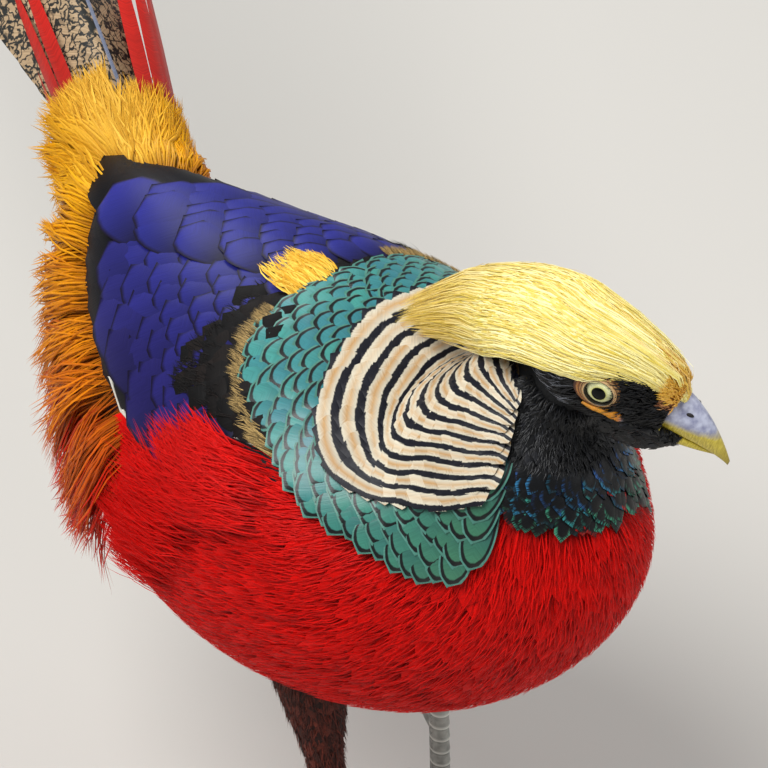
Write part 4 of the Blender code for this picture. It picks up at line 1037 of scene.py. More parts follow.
teal_finish = plumage("metallic green mantle vane", 0.36, teal, bump=0.15, shade=0.15, Specular_IOR_Level=0.4)
across, tips = [], []
for tier, tip in enumerate((1.0, 0.94, 0.78, 0.63, 0.48, 0.33, 0.17, 0.0)):
    row = (np.arange(28) + 0.25 + 0.5 * (tier % 2)) / 28
    across.append(-LEFT_SIDE + (1 + LEFT_SIDE) * row + rng.uniform(-0.006, 0.006, 28))
    tips.append(tip + rng.uniform(-0.02, 0.02, 28))
across, tips = np.concatenate(across), np.concatenate(tips)
near, far = CAPE_SIDE * across, MANTLE_SIDE * across
tip_b = near + (far - near) * tips
tip_a = rim_at(CAPE_RIM, near) + (rim_at(MANTLE_RIM, far) - rim_at(CAPE_RIM, near)) * tips
sweep = np.sign(tip_b) * np.interp(np.abs(tip_b), (0, 10, 40, 80, 105, 126), (0, 32, 58, 52, 26, 0))
a, b = (v[:, ::-1] for v in reach(body, tip_a, tip_b, sweep, -0.024))
widths = np.interp(np.abs(tip_b), (0, 85, 126), (0.0128, 0.0122, 0.0092))
mantle = lay("mantle_feathers", body, a, b, widths, (-0.0026, 0.0008, 0.0028, 0.0034), teal_finish,
             blunt=0.52, rows=14, columns=7, tilt=0.0004 * np.sign(tip_b)[:, None, None], jitter=0.0001,
             arch=0.05, tract=np.abs(across), cells=True)

# %% [markdown]
# ## Dark shoulders
# Between mantle and wing lie brown-black feathers with loose, hairy edges. Vanes give the shoulder its
# body, and tufts of strands its soft edge.

# %% Dark shoulder feathers
def sooty(tree, barb):
    return put(tree, "mix", put(tree, "remap", barb["tone"], 0.4, 1.0), "#0a0808", "#17100d")


sooty_finish = plumage("brown-black loose barbs", 0.6, sooty, shade=0.3, Specular_IOR_Level=0.15)
places, tufts = [], []
for side, first, last in ((1, 19, 57), (-1, 2, 52)):
    root_a, root_b = shingles(body, np.arange(4.1, 5.27, 0.09), lambda s: first, lambda s: last, 0.0045)
    keep = root_a > rim_at(MANTLE_RIM, root_b) - 0.5
    root_a, root_b = root_a[keep], side * root_b[keep]
    root_a = root_a + rng.normal(0, 0.03, len(root_a))
    places.append(combed(body, root_a, root_b, 8, (0.011, 0.015)))
    root_a, root_b = shingles(body, np.arange(4.1, 5.32, 0.05), lambda s: first, lambda s: last, 0.0022)
    keep = root_a > rim_at(MANTLE_RIM, root_b) + 0.12
    root_a, root_b = root_a[keep] + rng.uniform(-0.04, 0.10, keep.sum()), side * root_b[keep]
    a, b = combed(body, root_a, root_b, 9, (0.007, 0.011))
    tufts.append(split(a, b, 4, 0.015, 0.8, gather=0.2))
a, b = merged(*places)
shoulders = lay("shoulder_feathers", body, a, b, 0.010, (-0.002, 0.0012, 0.0028, 0.0034), sooty_finish,
                blunt=0.4, rows=7, tilt=0.0002)
a, b = merged(*tufts)
fuzz = lay("shoulder_barbs", body, a, b, 0.0003, (-0.001, 0.0024, 0.0035, 0.0039), sooty_finish,
           rows=5, **STRAND, wave=0.0008, jitter=0.0004)

# %% [markdown]
# ## The yellow patch and the buff fringe
# A tuft of yellow plumes shows on the back behind the mantle, and the hidden feathers under the
# mantle's rim end in short buff barbs. Both are fringes, so both are tufts of fine short strands that
# are rooted under the feathers in front of them.

# %% Yellow patch and buff fringe
def yellow_plume(tree, barb):
    return put(tree, "mix", barb["tone"], "#e8a81c", "#fbd65c")


yellow_finish = plumage("bright yellow back barbs", 0.5, yellow_plume, shade=0.12, Specular_IOR_Level=0.15)
root_a, root_b = scatter(46, (4.95, 5.4), (0, 15))
a, b = split(*combed(body, root_a, root_b, 8, (0.009, 0.013)), 12, 0.03, 1.2)
patch = lay("back_patch", body, a, b, 0.0005, (-0.001, 0.003, 0.0044, 0.0050), yellow_finish,
            rows=6, **STRAND, wave=0.001, jitter=0.0004)


def buff(tree, barb):
    return put(tree, "mix", barb["tone"], "#57482c", "#c4a468")


buff_finish = plumage("buff loose barbs", 0.6, buff, shade=0.3, Specular_IOR_Level=0.2)
root_b = rng.uniform(24, 62, 260) * rng.choice((1, -0.78), 260)
root_a = rim_at(MANTLE_RIM, root_b) - rng.uniform(0.10, 0.16, 260)
a, b = split(*combed(body, root_a, root_b, 8, (0.0065, 0.0080)), 6, 0.012, 0.9)
fringe = lay("mantle_fringe", body, a, b, 0.00025, (0.0, 0.0022, 0.0036, 0.0044), buff_finish,
             rows=5, **STRAND, wave=0.0003, jitter=0.0002)

# %% [markdown]
# ## Cape
# The cape is a ruff of square straw feathers with blue-black bars. On the bird the bars of all the
# feathers line up into rings round the neck, so the pattern isn't painted feather by feather: each
# point stores how far it lies between the face and the cape's edge, and the rings follow that.

# %% Cape
def cape_place(across, share):
    """A place on the cape: across from -1 to 1, share 0 at the face to 1 at its rim."""
    rim = rim_at(CAPE_RIM, (FACE_ANGLE + CAPE_SPREAD) * across)
    return FACE_STATION + (rim - FACE_STATION) * share, cape_side(share) * across


def cape_share(a, b):
    """The share of a place on the body, found again by a few rounds of guessing."""
    share = 0.5
    for _ in range(9):
        across = np.clip(b / cape_side(share), -1.05, 1.05)
        rim = rim_at(CAPE_RIM, (FACE_ANGLE + CAPE_SPREAD) * across)
        share = 0.4 * share + 0.6 * np.clip((a - FACE_STATION) / (rim - FACE_STATION), 0.0, 1.3)
    return share + rng.normal(0, 0.003, (len(a),) + (1,) * (a.ndim - 1))


BARS = 12.0


def barred(tree, barb):
    ragged = put(tree, "times plus", barb["streak"], 0.16, put(tree, "times", barb["tract"], BARS))
    bar = put(tree, "absolute", put(tree, "minus", put(tree, "fraction", ragged), 0.5))
    tan = put(tree, "mix", put(tree, "remap", bar, 0.0, 0.24), "#c79b64", "#d0c7b1")
    tan = put(tree, "mix", put(tree, "remap", barb["tone"], 0.3, 1.0, 0.0, 0.7), tan, "#d0c7b1")
    dark = put(tree, "remap", bar, 0.285, 0.325)
    return put(tree, "mix", dark, tan, "#0a0b18")


cape_finish = plumage("straw cape vane, barred", 0.5, barred, bump=0.15, shade=0.12, Specular_IOR_Level=0.3)
tip_share, across, tiers = [], [], []
for tier, count in enumerate((37, 36, 35, 34, 33, 31, 29, 27, 25, 23, 21)):
    tip_share.append(np.full(count, (BARS - 0.05 - tier) / BARS) + rng.uniform(-0.006, 0.006, count))
    row = (np.arange(count) + 0.25 + 0.5 * (tier % 2)) / count
    across.append(-LEFT_SIDE + (0.99 + LEFT_SIDE) * row)
    tiers.append(np.full(count, tier))
tip_share, across, tiers = (np.concatenate(v) for v in (tip_share, across, tiers))
start = np.maximum(tip_share - 0.28, 0.0)
a, b = (np.stack(v, 1) for v in zip(*(cape_place(across, start + (tip_share - start) * f)
                                      for f in (0.0, 0.33, 0.67, 1.0))))
rise = np.interp(tip_share, (0.0, 0.5, 1.0), (0.0024, 0.0046, 0.0054))
lifts = np.stack((0 * rise - 0.0012, 0.35 * rise, 0.8 * rise, rise), 1)
cape = lay("cape_feathers", body, a, b, 0.0098 - 0.0003 * tiers, lifts, cape_finish, blunt=0.9, rows=11,
           columns=5, tilt=0.0002, jitter=0.0001, arch=0.05, field=cape_share, cells=True)

# %% [markdown]
# ## Crest
# The crest is a cap of silky, hair-like feathers that start at the bill and reach over the nape.
# Its form is a vault over the head and neck, given by hoops, and the strands run back along it.

# %% Crest
CREST_HOOPS = ((0.0206, -0.0006, 0.0058, 0.0058), (0.0147, 0.0051, 0.0088, 0.0065),
               (-0.0012, 0.0059, 0.0135, 0.0101), (-0.0114, 0.0026, 0.0162, 0.0160))
NAPE_HOOPS = ((0.0224, -0.0859, 0.2620, 0.0170, 0.0165), (0.0226, -0.0737, 0.2539, 0.0137, 0.0174),
              (0.0224, -0.0540, 0.2430, 0.0105, 0.0146), (0.0140, -0.0290, 0.2296, 0.0080, 0.0062))
hoops = [(*on_head(f, 0, u), *size, *UP) for f, u, *size in CREST_HOOPS]
hoops += [(*(np.array(row[:3]) + SHIFT), *row[3:], *BACK_AND_UP) for row in NAPE_HOOPS]


def crest(back, spread):
    """The vault of the crest: back counts its hoops from the bill, spread is the angle from its top."""
    back, spread = np.broadcast_arrays(np.asarray(back, float), np.asarray(spread, float))
    row = row_at(hoops, back)
    step = row_at(hoops, back + 0.05)[..., :3] - row_at(hoops, back - 0.05)[..., :3]
    right = unit(np.cross(row[..., 5:], step))
    up = unit(np.cross(step, right))
    turn = np.radians(spread)[..., None]
    return row[..., :3] + right * row[..., 3:4] * np.sin(turn) + up * row[..., 4:5] * np.cos(turn)


def lemon(tree, barb):
    """Pale lemon on the crown, golden where it starts at the bill and at the loose ends."""
    pale = put(tree, "mix", barb["tone"], "#f3d95a", "#fbf3b6")
    pale = put(tree, "mix", put(tree, "remap", barb["tract"], 0.40, 0.95), pale, "#e59a12")
    return put(tree, "mix", put(tree, "remap", barb["along"], 0.45, 1.0, 0.0, 0.6), pale, "#e6b838")


crest_finish = plumage("silky lemon crest barbs", 0.45, lemon, bump=0.1, shade=0.06, Specular_IOR_Level=0.25)


def crest_strands(name, locks, strands, first, lift, width, rows):
    """Locks that start at the bill or on the crown and run back over the nape."""
    spread = rng.uniform(-94, 94, locks)
    share = spread / 94
    start = 0.05 + 1.2 * share**2 + rng.uniform(0, first, locks)
    end = np.minimum(start + rng.uniform(3.0, 5.0, locks), 6.97 - 0.4 * share**2 - rng.uniform(0, 0.5, locks))
    a = start[:, None] + (end - start)[:, None] * np.linspace(0, 1, 5)
    b = spread[:, None] * np.interp(a, (0, 4, 7), (1.0, 1.0, 0.96))
    b = b + rng.normal(0, 4, (locks, 1)) * np.linspace(0, 1, 5)
    a, b = split(a, b, strands, 0.10, 4.5, gather=0.45)
    height = np.repeat(lift + rng.normal(0, 0.0003, locks), strands) + rng.normal(0, 0.00015, locks * strands)
    lifts = np.stack((0 * height - 0.0016, height, height, height + 0.0002, height - 0.0002), 1)
    golden_root = np.exp(-start * 2.6) * np.clip(1.1 - 1.4 * np.abs(share), 0, 1)
    piece = lay(name, crest, np.clip(a, 0.02, 7.0), b, width, lifts, crest_finish, blunt=0.05, rows=rows,
                columns=3, arch=0.45, wave=0.0008, jitter=0.0003, tract=np.repeat(golden_root, strands))


crest_strands("crest_under", 900, 1, 2.6, -0.0014, 0.0018, 9)
crest_strands("crest_locks", 330, 10, 2.6, -0.0003, 0.00055, 7)
crest_strands("crest_fine", 3200, 1, 3.4, 0.0, 0.00038, 6)

# %% [markdown]
# ## Face and throat
# The face is black and short-haired: bristly little feathers that start at the bill and point back
# and down. They are the smallest on the bird. Behind the eye a few grey, hairy ear feathers lie over
# them. Round the eye the skin is bare, so no feather is rooted near it.

# %% Face
def black(tree, barb):
    return put(tree, "mix", put(tree, "remap", barb["tone"], 0.7, 1.0), "#070709", "#1d1e24")


black_finish = plumage("short black bristles", 0.45, black, shade=0.4, Specular_IOR_Level=0.35)
EYE_BARE = 0.0066


def off_the_eyes(a, b):
    """Which roots lie outside the bare rings round the eyes."""
    points, keep = skull(a, b), np.ones(len(a), bool)
    for sign in (1, -1):
        away = points - on_head(0.0, sign * 0.0130, 0.0)
        keep &= np.hypot(dot(away, FORWARD), dot(away, UP)) > EYE_BARE
    return keep


def face_tract(name, count, hoop_range, down_range, length, width, lifts, made, **shape):
    """Bristles on both sides of the head, pointing back and a little down."""
    found = []
    for sign in (1, -1):
        root_a, root_b = scatter(count, hoop_range, down_range)
        keep = off_the_eyes(root_a, root_b)
        root_a, root_b = root_a[keep], sign * root_b[keep]
        veer = sign * rng.normal(22, 12, len(root_a))
        sized = rng.uniform(0.7, 1.2, len(root_a)) * length * np.interp(root_a, (0, 2, 6), (0.45, 0.9, 1.1))
        found.append(reach(skull, root_a, root_b, veer, sized))
    a, b = merged(*found)
    piece = lay(name, skull, a, b, width, lifts, made, **shape)


face_tract("face_under", 500, (0.1, 5.7), (50, 180), 0.0055, 0.0026, (-0.0012, 0.0, 0.0004, 0.0005),
           black_finish, blunt=0.4, rows=4, columns=5, jitter=0.0001)
face_tract("face_bristles", 2600, (0.1, 5.7), (48, 180), 0.0048, 0.0005, (-0.0006, 0.0007, 0.0012, 0.0014),
           black_finish, rows=3, **STRAND, wave=0.0004, jitter=0.0003)


def grizzled(tree, barb):
    return put(tree, "mix", put(tree, "remap", barb["tone"], 0.3, 1.0), "#17181c", "#8b8e98")


grizzled_finish = plumage("grey hairy ear feathers", 0.5, grizzled, shade=0.2)
face_tract("ear_coverts", 130, (3.3, 5.2), (92, 140), 0.0060, 0.0003, (-0.0004, 0.0010, 0.0016, 0.0018),
           grizzled_finish, rows=5, **STRAND, wave=0.0006, jitter=0.0003)


def foxy(tree, barb):
    return put(tree, "mix", barb["tone"], "#8a4a24", "#e0a266")


face_tract("forehead_bristles", 420, (0.0, 1.0), (0, 46), 0.0055, 0.0004, (-0.0004, 0.0016, 0.0026, 0.0030),
           crest_finish, rows=5, **STRAND, wave=0.0003, jitter=0.0002, tract=0.8)
CHIN_LINE = (  # forward of the eyes, up, half width, rise, drop
    (0.0268, -0.0092, 0.0036, 0.0008, 0.0026), (0.0225, -0.0088, 0.0062, 0.0012, 0.0058),
    (0.0180, -0.0085, 0.0083, 0.0020, 0.0103), (0.0120, -0.0080, 0.0094, 0.0020, 0.0120),
    (0.0040, -0.0070, 0.0104, 0.0030, 0.0130),
)


def chin(hoop, down):
    """The feathered underside of the bill: hoop 0 halfway along it to 4 under the eyes."""
    hoop, down = np.broadcast_arrays(np.asarray(hoop, float), np.asarray(down, float))
    row = row_at(CHIN_LINE, hoop)
    middle = on_head(row[..., 0], 0 * hoop, row[..., 1])
    return on_oval(middle, -RIGHT, UP, row[..., 2], row[..., 3], row[..., 4], down)


for name, count, width, size, turn in (("chin_under", 420, 0.0028, 0.0045, 0),
                                       ("chin_bristles", 1500, 0.00045, 0.0036, 0),
                                       ("chin_edge", 260, 0.0004, 0.0024, 180)):
    root_a, root_b = scatter(count, (0.5, 0.9) if turn else (0.05, 3.6), (84, 276))
    a, b = reach(chin, root_a, root_b, turn + rng.normal(0, 16, count), rng.uniform(0.7, 1.2, count) * size)
    piece = lay(name, chin, np.clip(a, 0.0, 4.0), b, width, (-0.0010, 0.0001, 0.0005, 0.0007), black_finish,
                blunt=0.1, rows=4, columns=3, arch=0.5, wave=0.0003, jitter=0.0002)
foxy_finish = plumage("orange-brown bristles at the bill", 0.5, foxy, shade=0.25)
face_tract("lore_bristles", 260, (0.0, 0.9), (20, 62), 0.0042, 0.0004, (-0.0004, 0.0008, 0.0013, 0.0015),
           foxy_finish, rows=4, **STRAND, wave=0.0003, jitter=0.0002)


def throat_edge(station):
    """The angle where the throat's black ends and the cape begins."""
    return float(cape_side((station - FACE_STATION) / CAPE_SIDE_LENGTH)) - 1


def throat_left(station):
    return 360 - LEFT_SIDE * throat_edge(station)


root_a, root_b = shingles(body, np.arange(0.1, 2.0, 0.10), throat_edge, throat_left, 0.0030)
a, b = combed(body, root_a, root_b, 10, (0.005, 0.008))
throat = lay("throat_feathers", body, a, b, 0.0042, (-0.0030, -0.0012, 0.0, 0.0004), black_finish, blunt=0.4,
             rows=5, tilt=0.0002)
root_a, root_b = shingles(body, np.arange(0.1, 1.9, 0.04), throat_edge, throat_left, 0.0012)
keep = root_a < np.interp(root_b, (100, 114, 146, 186, 223, 290), (1.62, 1.58, 1.46, 1.62, 1.76, 1.76))
root_a, root_b = root_a[keep], root_b[keep]
a, b = combed(body, root_a, root_b, 22, (0.0028, 0.0046))
bristles = lay("throat_bristles", body, a, b, 0.0004, (-0.0012, 0.0, 0.0006, 0.0009), black_finish,
               rows=4, **STRAND, wave=0.0004, jitter=0.0002)

# %% [markdown]
# ## Collar
# Between the black throat and the red breast lies a collar of black feathers whose fringes are
# metallic: deep blue above, turquoise below, and a few of them red. Only the fringe differs, so one
# finish paints it by how near the rim a point lies, and each feather carries its own hue.

# %% Collar
def fringed(tree, barb):
    hue = put(tree, "ramp", barb["tract"], stops=[(0.0, "#2a5a9c"), (0.35, "#2a7d9a"), (0.6, "#379483"),
                                                  (0.84, "#3c8a6c"), (0.86, "#b3170f"), (1.0, "#c01c12")])
    near = put(tree, "remap", barb["margin"], 0.0005, 0.0011, 1.0, 0.0)
    far = put(tree, "remap", barb["along"], 0.5, 0.72)
    ragged = put(tree, "remap", barb["streak"], 0.40, 0.58, 0.0, 1.0)
    worn = put(tree, "remap", barb["tone"], 0.15, 0.85, 0.10, 0.85)
    share = put(tree, "times", put(tree, "times", put(tree, "times", near, far), ragged), worn)
    return put(tree, "mix", share, "#08090c", hue)


collar_finish = plumage("black collar vane, metallic fringe", 0.42, fringed, shade=0.3,
                        Specular_IOR_Level=0.25)


def collar_edge(station):
    """The angle where the collar meets the cape's side edge and then its rim."""
    if station > FACE_STATION + CAPE_SIDE_LENGTH:
        return float(rim_angle(CAPE_RIM, station)) - 4
    return max(throat_edge(station), 96.0) - 3


def collar_left(station):
    return 360 - LEFT_SIDE * collar_edge(station)


root_a, root_b = shingles(body, np.arange(1.30, 2.5, 0.07), collar_edge, collar_left, 0.0034)
keep = root_a < collar_end(root_b) + rng.normal(0, 0.04, len(root_a))
root_a, root_b = root_a[keep], root_b[keep]
a, b = combed(body, root_a, root_b, 12, (0.008, 0.011))
hue = np.clip((root_a - 1.3) / 0.6 * 0.8 + rng.uniform(-0.3, 0.3, len(root_a)), 0, 0.83)
hue = np.where(rng.uniform(0, 1, len(root_a)) < np.clip((root_a - 1.55) * 0.7, 0, 0.3), 0.95, hue)
collar = lay("collar_feathers", body, a, b, 0.0054, (-0.0026, -0.0002, 0.0007, 0.0010), collar_finish,
             blunt=0.75, rows=8, columns=7, tilt=0.0003, tract=hue, cells=True)

# %% [markdown]
# ## Eyes
# The eye is what one looks at first. The ball is wet and smooth, the iris pale yellow with a dark
# rim, and the lids are bare, wrinkled rings. A sphere primitive is the start. Its front is drawn out
# into the bulge of the cornea, and a clear coat gives the wet highlight over the painted iris.

# %% Eyeballs
EYE_RADIUS, IRIS, PUPIL = 0.0058, 0.0042, 0.0021


def eye_finish():
    made, tree, shader = finish("wet eye, pale yellow iris", 0.6, Coat_Weight=0.3, Coat_Roughness=0.02,
                                Specular_IOR_Level=0.0)
    radius = put(tree, "attribute", attribute_name="from_axis")
    turn = put(tree, "attribute", attribute_name="round_axis")
    place = put(tree, "point", put(tree, "times", turn, 9.0), put(tree, "times", radius, 260.0))
    fibre = put(tree, "noise", place, 1.0, 3.0)
    iris = put(tree, "mix", put(tree, "remap", fibre, 0.3, 0.7), "#dcdc98", "#f4f3c8")
    iris = put(tree, "mix", put(tree, "remap", radius, PUPIL, PUPIL + 0.0007, 1.0, 0.0), iris, "#c3c074")
    iris = put(tree, "mix", put(tree, "remap", radius, IRIS - 0.0004, IRIS), iris, "#3a3116")
    colour = put(tree, "mix", put(tree, "remap", radius, PUPIL - 0.00008, PUPIL + 0.00008), "#020203", iris)
    tree.links.new(put(tree, "mix", put(tree, "remap", radius, IRIS, IRIS + 0.0002), colour, "#0a0806"),
                   shader.inputs["Base Color"])
    return made


wet_eye = eye_finish()
for side, sign in SIDES:
    centre = on_head(0.0, sign * EYE_OUT, 0.0)
    bpy.ops.object.select_all(action="DESELECT")
    bpy.ops.mesh.primitive_uv_sphere_add(segments=64, ring_count=48, radius=EYE_RADIUS)
    ball = bpy.context.object
    ball.name = ball.data.name = f"eyeball_{side}"
    turned = Matrix((FORWARD, UP * sign, RIGHT * sign)).transposed()
    points = np.array([v.co for v in ball.data.vertices])
    from_axis = np.hypot(points[:, 0], points[:, 1])
    bulge = 0.0004 * np.clip(1 - (from_axis / IRIS) ** 2, 0, 1) * (points[:, 2] > 0)
    round_axis = np.arctan2(points[:, 1], points[:, 0])
    points[:, 2] += bulge
    placed = points @ np.array(turned).T + centre
    ball.data.vertices.foreach_set("co", placed.astype(np.float32).ravel())
    store(ball, "from_axis", from_axis + (points[:, 2] < 0))
    store(ball, "round_axis", round_axis)
    bpy.ops.object.shade_smooth()
    ball.data.materials.append(wet_eye)
    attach(ball, "root")
    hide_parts(f"eye_{side}")

# %% [markdown]
# ## Lids
# Bare skin rings the eye in thin folds. The folds could be sculpted. A tube of revolution whose
# profile rises and falls gives the same rings, and it can follow the ball closely, so no gap shows.

# %% Ringed lids
LID_PROFILE = (  # distance from the eye's middle, height over the head's side, both in mm
    (3.75, -0.9), (4.05, 0.55), (4.25, 0.80), (4.50, 0.72), (4.70, 0.40), (4.95, 0.62), (5.25, 0.55),
    (5.45, 0.22), (5.75, 0.45), (6.05, 0.38), (6.30, 0.05), (6.60, 0.20), (6.95, -0.05), (7.60, -1.2),
)


def side_of_head(forward, up):
    """How far out the side of the head lies there."""
    rows = np.array(HEAD_LINE)
    hoop = np.interp(forward, rows[:, 0], range(len(rows)))
    row = row_at(HEAD_LINE, hoop)
    level = up - row[..., 1]
    reach_up = np.where(level > 0, row[..., 3], row[..., 4])
    return row[..., 2] * np.sqrt(np.clip(1 - (level / reach_up) ** 2, 0.05, 1))


def bare_skin(name, key, span, stops, grain, light, bump, subsurface):
    """Bare skin: a ramp of colours over the attribute key, with fine grain in colour and relief."""
    made, tree, shader = finish(name, 0.45, Subsurface_Weight=subsurface, Subsurface_Scale=0.001)
    place = put(tree, "attribute", attribute_name=key)
    colour = put(tree, "ramp", put(tree, "remap", place, *span) if span else place, stops=stops)
    speck = put(tree, "noise", put(tree, "object place"), grain, 3.0)
    tinted(tree, shader, colour, put(tree, "remap", speck, 0.3, 0.7, *light), (bump, 0.0002, speck))
    return made


lid_finish = bare_skin(
    "bare ringed eyelid skin", "ring", (0.0038, 0.0076),
    [(0.0, "#0c0906"), (0.09, "#1a120a"), (0.16, "#c9a878"), (0.27, "#caa06a"), (0.32, "#4a2c12"),
     (0.40, "#b98a56"), (0.50, "#6a3f1c"), (0.62, "#b77b3c"), (0.78, "#5d3417"), (1.0, "#1a110c")],
    grain=2600.0, light=(0.7, 1.2), bump=0.4, subsurface=0.1)

for side, sign in SIDES:
    turn = full_turn(73)
    profile = row_at(LID_PROFILE, np.linspace(0, len(LID_PROFILE) - 1, 40))
    radius, height = profile[:, :1] / 1000, profile[:, 1:] / 1000
    stretch = 1 + 0.10 * np.cos(turn - 2.6) * np.clip((radius - 0.0042) / 0.002, 0, 1)
    forward, up = radius * stretch * np.cos(turn) * 1.04, radius * stretch * np.sin(turn) * 0.97
    wrinkle = 0.00008 * np.sin(turn * 23 + radius * 900) * np.clip((radius - 0.0043) / 0.001, 0, 1)
    share = np.clip((radius - 0.0038) / 0.0025, 0.25, 1)
    out = 0.0132 + (side_of_head(forward, up) - 0.0130) * share + height + wrinkle
    rim = wrapped_grid(f"eyelids_{side}", on_head(forward, sign * out, up), closed_ends=False)
    points = np.array([v.co for v in rim.data.vertices]) - on_head(0.0, 0.0, 0.0)
    ring = np.hypot(points @ FORWARD / 1.04, points @ UP / 0.97)
    store(rim, "ring", ring)
    rim.data.materials.append(lid_finish)
    bpy.ops.object.shade_smooth()
    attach(rim, "root")

# %% [markdown]
# ## Lappets
# Under each eye hangs a small flap of orange skin with a blue-grey tip. Its outline is given by a
# few stops along its middle with a half width each, and a smooth curve through them makes the tube.

# %% Lappets
lappet_finish = bare_skin(
    "bare orange lappet skin", "tipward", None,
    [(0.0, "#c9862a"), (0.45, "#ee9f1c"), (0.78, "#e88d1a"), (1.0, "#8d93a6")],
    grain=2200.0, light=(0.72, 1.15), bump=0.5, subsurface=0.15)
LAPPET = (  # forward, up, half width
    (-0.0030, -0.0068, 0.0006), (0.0002, -0.0070, 0.0010), (0.0036, -0.0066, 0.0015),
    (0.0062, -0.0070, 0.0024), (0.0082, -0.0088, 0.0023), (0.0096, -0.0112, 0.0007),
)
for side, sign in SIDES:
    row = row_at(LAPPET, np.linspace(0, 5, 26))
    across = unit(np.gradient(row[:, :2], axis=0))[:, ::-1] * (1, -1)
    turn = full_turn(25)
    forward = row[:, :1] + across[:, :1] * row[:, 2:] * np.cos(turn)
    up = row[:, 1:2] + across[:, 1:] * row[:, 2:] * np.cos(turn)
    thick = np.interp(np.arange(26), (0, 6, 20, 25), (0.0003, 0.0008, 0.0011, 0.0003))[:, None]
    out = side_of_head(forward, up) + 0.0007 + thick * np.sin(turn)
    flap = wrapped_grid(f"lappet_{side}", on_head(forward, sign * out, up))
    points = np.array([v.co for v in flap.data.vertices]) - on_head(0.0, 0.0, 0.0)
    store(flap, "tipward", np.interp(points @ FORWARD, row[:, 0], np.linspace(0, 1, 26)))
    flap.data.materials.append(lappet_finish)
    bpy.ops.object.shade_smooth()
    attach(flap, "root")

# %% [markdown]
# ## Bill
# The bill is horn over bone: lilac-grey along its ridge, yellow-green at its cutting edges, with fine
# growth lines and a hook at the tip. Both halves are grids wrapped round rings that shrink towards
# the tip, and the nostril is pressed into the upper one under a small flap.

# %% Bill
BILL_BASE, BILL_LENGTH, BILL_HALF_WIDTH, BILL_RISE = 0.0203, 0.0210, 0.0058, 0.0055
MOUTH_LEVEL, MOUTH_FALL, BILL_TIP_LEVEL, LOWER_BILL_DEPTH = -0.0075, 0.0024, -0.0108, 0.0040
horn, tree, shader = finish("polished horn of the bill", 0.34, Coat_Weight=0.25, Coat_Roughness=0.2)
edge = put(tree, "attribute", attribute_name="edge")
along = put(tree, "attribute", attribute_name="along")
cloud = put(tree, "noise", put(tree, "object place"), 420.0, 4.0)
place = put(tree, "point", put(tree, "times", along, 60.0), put(tree, "times", edge, 4.0))
growth = put(tree, "noise", place, 1.0, 2.0)
ridge = put(tree, "mix", put(tree, "remap", cloud, 0.35, 0.65), "#8284a0", "#b8bbce")
yellow = put(tree, "mix", put(tree, "remap", growth, 0.3, 0.7), "#a08a22", "#d3c04c")
share = put(tree, "times plus", along, 0.45, put(tree, "times plus", cloud, 0.4, edge))
colour = put(tree, "mix", put(tree, "remap", share, 0.55, 0.90), ridge, yellow)
colour = put(tree, "mix", put(tree, "remap", along, 0.80, 1.0, 0.0, 0.75), colour, "#8f7a22")
colour = put(tree, "mix", put(tree, "remap", along, 0.0, 0.12, 0.6, 0.0), colour, "#4c3a33")
tree.links.new(colour, shader.inputs["Base Color"])
tree.links.new(put(tree, "bump", 0.25, 0.0002, growth), shader.inputs["Normal"])


def bill_half(upper):
    """Points of one half of the bill, and how near the cutting edge each one lies."""
    t = np.linspace(0, 1, 44)[:, None]
    turn = full_turn(41) + 0 * t
    length = BILL_LENGTH if upper else BILL_LENGTH * 0.82
    forward = BILL_BASE - 0.004 + (length + 0.004) * t
    half = BILL_HALF_WIDTH * (1 - t**1.6) + 0.0006
    mouth = MOUTH_LEVEL - MOUTH_FALL * t**1.6
    if upper:
        top = BILL_RISE - (BILL_RISE - BILL_TIP_LEVEL) * (0.25 * t + 0.75 * t**2.2)
        bottom = mouth - 0.0022 * t**5
    else:
        top = mouth - 0.0002
        bottom = mouth - LOWER_BILL_DEPTH * (1 - t**1.8) - 0.0008
    level = np.sin(turn)
    outer = np.maximum(level if upper else -level, 0.0)
    square = np.where(outer > 0, 0.75, 0.22)
    narrow = (1 - 0.50 * outer**1.6) * (np.abs(np.cos(turn)) ** square) * np.sign(np.cos(turn))
    side = -narrow * half
    up = (top + bottom) / 2 + level * (top - bottom) / 2
    if upper:
        from_nostril = np.hypot((forward - 0.0248) / 0.0020, (up - 0.0004) / 0.0011)
        side = side * (1 - 0.16 * np.exp(-from_nostril**2 * 1.4))
        flap = np.hypot((forward - 0.0246) / 0.0024, (up - 0.0020) / 0.0012)
        side = side * (1 + 0.05 * np.exp(-flap**2))
    edge = np.clip(1 - np.abs(up - mouth) / (0.0062 if upper else 0.0036), 0, 1)
    return on_head(forward + 0 * side, side, up), edge + 0 * side, t + 0 * side


for upper, label in ((True, "upper"), (False, "lower")):
    points, near_edge, tipward = bill_half(upper)
    half = wrapped_grid(f"bill_{label}_horn", points, edge=near_edge, along=tipward)
    half.data.materials.append(horn)
    bpy.ops.object.shade_smooth()
    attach(half, "root")
    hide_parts(f"bill_{label}")

# %% [markdown]
# ## Nostrils and the corners of the mouth
# The nostril is a slit under a small flap of horn. A dark flattened sphere set into the bill's
# surface reads as its depth. The yellow corner of the mouth runs back under the face's bristles.

